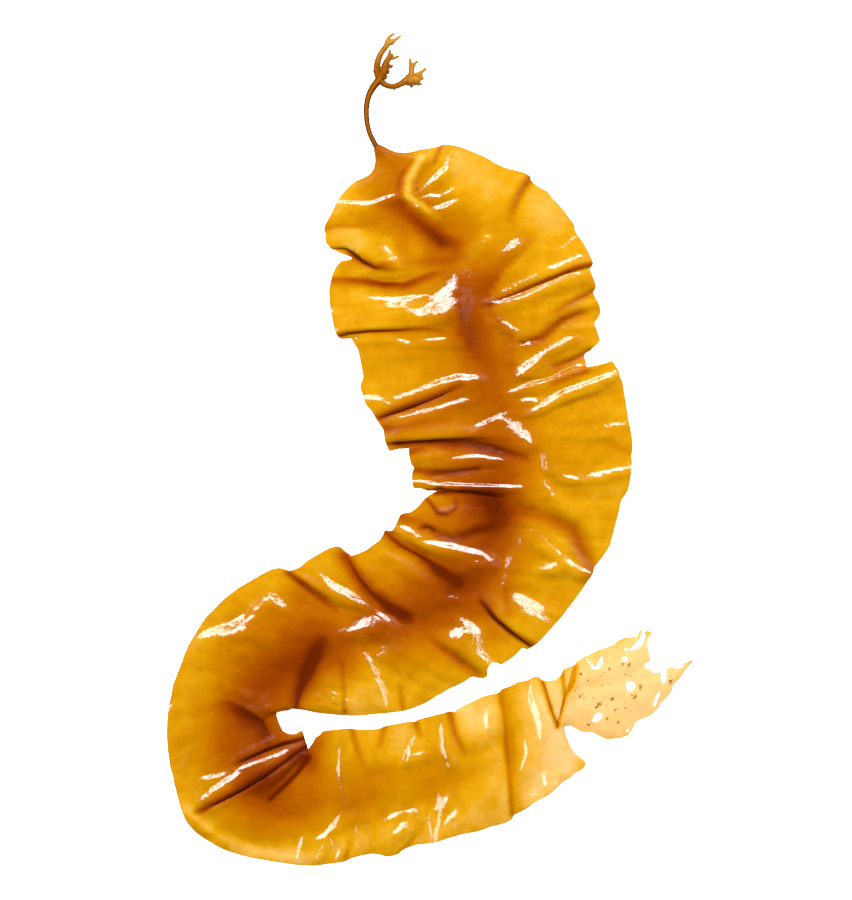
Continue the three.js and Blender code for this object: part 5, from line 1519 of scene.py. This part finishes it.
def limb_material(name, near, far, centre, reach, wrinkle, coat, edge):
    """A wet limb whose colour goes from near to far with the distance from a centre, with painted shade at
    its flanks.
    """
    made, tree = new_material(name)
    place = node(tree, "ShaderNodeTexCoord", (-1300, 0)).outputs["Object"]
    centred = node(tree, "ShaderNodeMapping", (-1100, 100), {"Location": [-c for c in centre]})
    length = node(tree, "ShaderNodeVectorMath", (-900, 100), operation="LENGTH")
    link(tree, place, centred.inputs["Vector"])
    link(tree, centred.outputs["Vector"], length.inputs[0])
    fade = stretch(tree, (-700, 100), length.outputs["Value"], (0.3 * reach, reach), (0.0, 1.0))
    blotch = grain(tree, (-900, 320), place, scale=420.0, detail=5.0)
    blotch_fade = stretch(tree, (-700, 380), blotch, (0.3, 0.7), (-0.2, 0.2))
    share = added(tree, (-500, 200), fade, blotch_fade, use_clamp=True)
    # Painted shade: the colour turns darker brown where the skin faces sideways.
    painted_flank_shade = stretch(tree, (-300, 600), read(tree, (-500, 600), "flank"), (0.0, FLANK_WIDTH), (0.0, edge))
    colour = blend(tree, (-120, 300), painted_flank_shade, blend(tree, (-300, 200), share, near, far), FLANK_SHADE_BROWN)
    skin = node(
        tree, "ShaderNodeGroup", (-500, -200),
        {"Wrinkle Scale": wrinkle, "Wrinkle Depth": 0.12, "Roughness": 0.35}, node_tree=wet_skin)
    gloss = node(
        tree, "ShaderNodeBsdfPrincipled", (0, 100),
        {"Specular IOR Level": 0.0, "Coat Weight": coat, "Coat Roughness": 0.07})
    glow = node(tree, "ShaderNodeBsdfTranslucent", (0, -400))
    mixed = node(tree, "ShaderNodeMixShader", (300, 100), {"Fac": LIMB_GLOW})
    output = node(tree, "ShaderNodeOutputMaterial", (500, 100))
    link(tree, place, skin.inputs["Vector"])
    link(tree, colour, gloss.inputs["Base Color"], glow.inputs["Color"])
    link(tree, skin.outputs["Roughness"], gloss.inputs["Roughness"])
    link(tree, skin.outputs["Normal"], gloss.inputs["Normal"], gloss.inputs["Coat Normal"])
    link(tree, gloss.outputs["BSDF"], mixed.inputs[1])
    link(tree, glow.outputs["BSDF"], mixed.inputs[2])
    link(tree, mixed.outputs["Shader"], output.inputs["Surface"])
    return made


MEETING_PLACE = lay(380, 80, 0.0012)
stipe_material = limb_material(
    "kelp_stipe", (0.36, 0.1, 0.0, 1), (0.28, 0.066, 0.0, 1), MEETING_PLACE, 0.03, 500.0, 0.15, 0.9)
holdfast_material = limb_material(
    "kelp_holdfast", (0.28, 0.078, 0.0, 1), (0.5, 0.25, 0.02, 1), MEETING_PLACE, 0.019, 650.0, 0.2, 0.25)
print("limb materials:", stipe_material.name, holdfast_material.name)

# %% [markdown]
# ## Dress the frame
# Each visible piece takes its material, rides on the one body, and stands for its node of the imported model.

# %% Materials and frame
DRESSED = [
    (blade, "blade", "blade", blade_material),
    (stipe, "stipe", "stipe", stipe_material),
    (long_hapteron, "long_hapteron", "holdfast", holdfast_material),
    (short_hapteron, "short_hapteron", "holdfast", holdfast_material),
    (curved_hapteron, "curved_hapteron", "holdfast", holdfast_material),
]
for piece, stands_for, slot, material in DRESSED:
    piece.data.materials.clear()
    piece.data.materials.append(material)
    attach(piece, "root")
    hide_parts(stands_for)
    print(piece.name, "stands for", stands_for)

# %% [markdown]
# ## Table and light
# The frond lies on a bright white ground that also lights it from below, so the thin margins glow and no
# shadow is left. Soft lights stand in half a ring beyond it and at both sides, all equally high, so that a
# fold of any direction has one flank that shines. The viewer's side stays dark, which gives the folds shape.

# %% A white ground that glows
bpy.ops.mesh.primitive_plane_add(size=6, location=(0, 0, -0.00002))
ground = bpy.context.object
ground.name = "white_ground"
ground_material, tree = new_material("white_ground")
surface = node(tree, "ShaderNodeBsdfPrincipled", (0, 0), {
    "Base Color": (0.9, 0.9, 0.9, 1), "Roughness": 0.9,
    "Emission Color": (1, 1, 1, 1), "Emission Strength": 0.95,
})
output = node(tree, "ShaderNodeOutputMaterial", (300, 0))
link(tree, surface.outputs["BSDF"], output.inputs["Surface"])
ground.data.materials.append(ground_material)
print("ground:", ground.name)

# %% Soft lights
def softbox(name, place, wide, high, power):
    """A rectangular light at a place, aimed at the frond."""
    bpy.ops.object.light_add(type="AREA", location=place)
    light = bpy.context.object
    light.name = name
    light.data.shape = "RECTANGLE"
    light.data.size = wide
    light.data.size_y = high
    light.data.energy = power
    light.rotation_euler = (-Vector(place)).to_track_quat("-Z", "Y").to_euler()
    return light


for turn, power in RING:
    angle = math.radians(turn)
    place = (RING_REACH * math.sin(angle), RING_REACH * math.cos(angle), RING_HEIGHT)
    softbox(f"ring_light_{turn + 90}", place, 1.05, 0.65, power)
world = bpy.data.worlds.new("soft_room")
bpy.context.scene.world = world
world.use_nodes = True
world.node_tree.nodes["Background"].inputs["Color"].default_value = (1, 1, 1, 1)
world.node_tree.nodes["Background"].inputs["Strength"].default_value = 0.06
bpy.context.scene.view_settings.view_transform = "Standard"
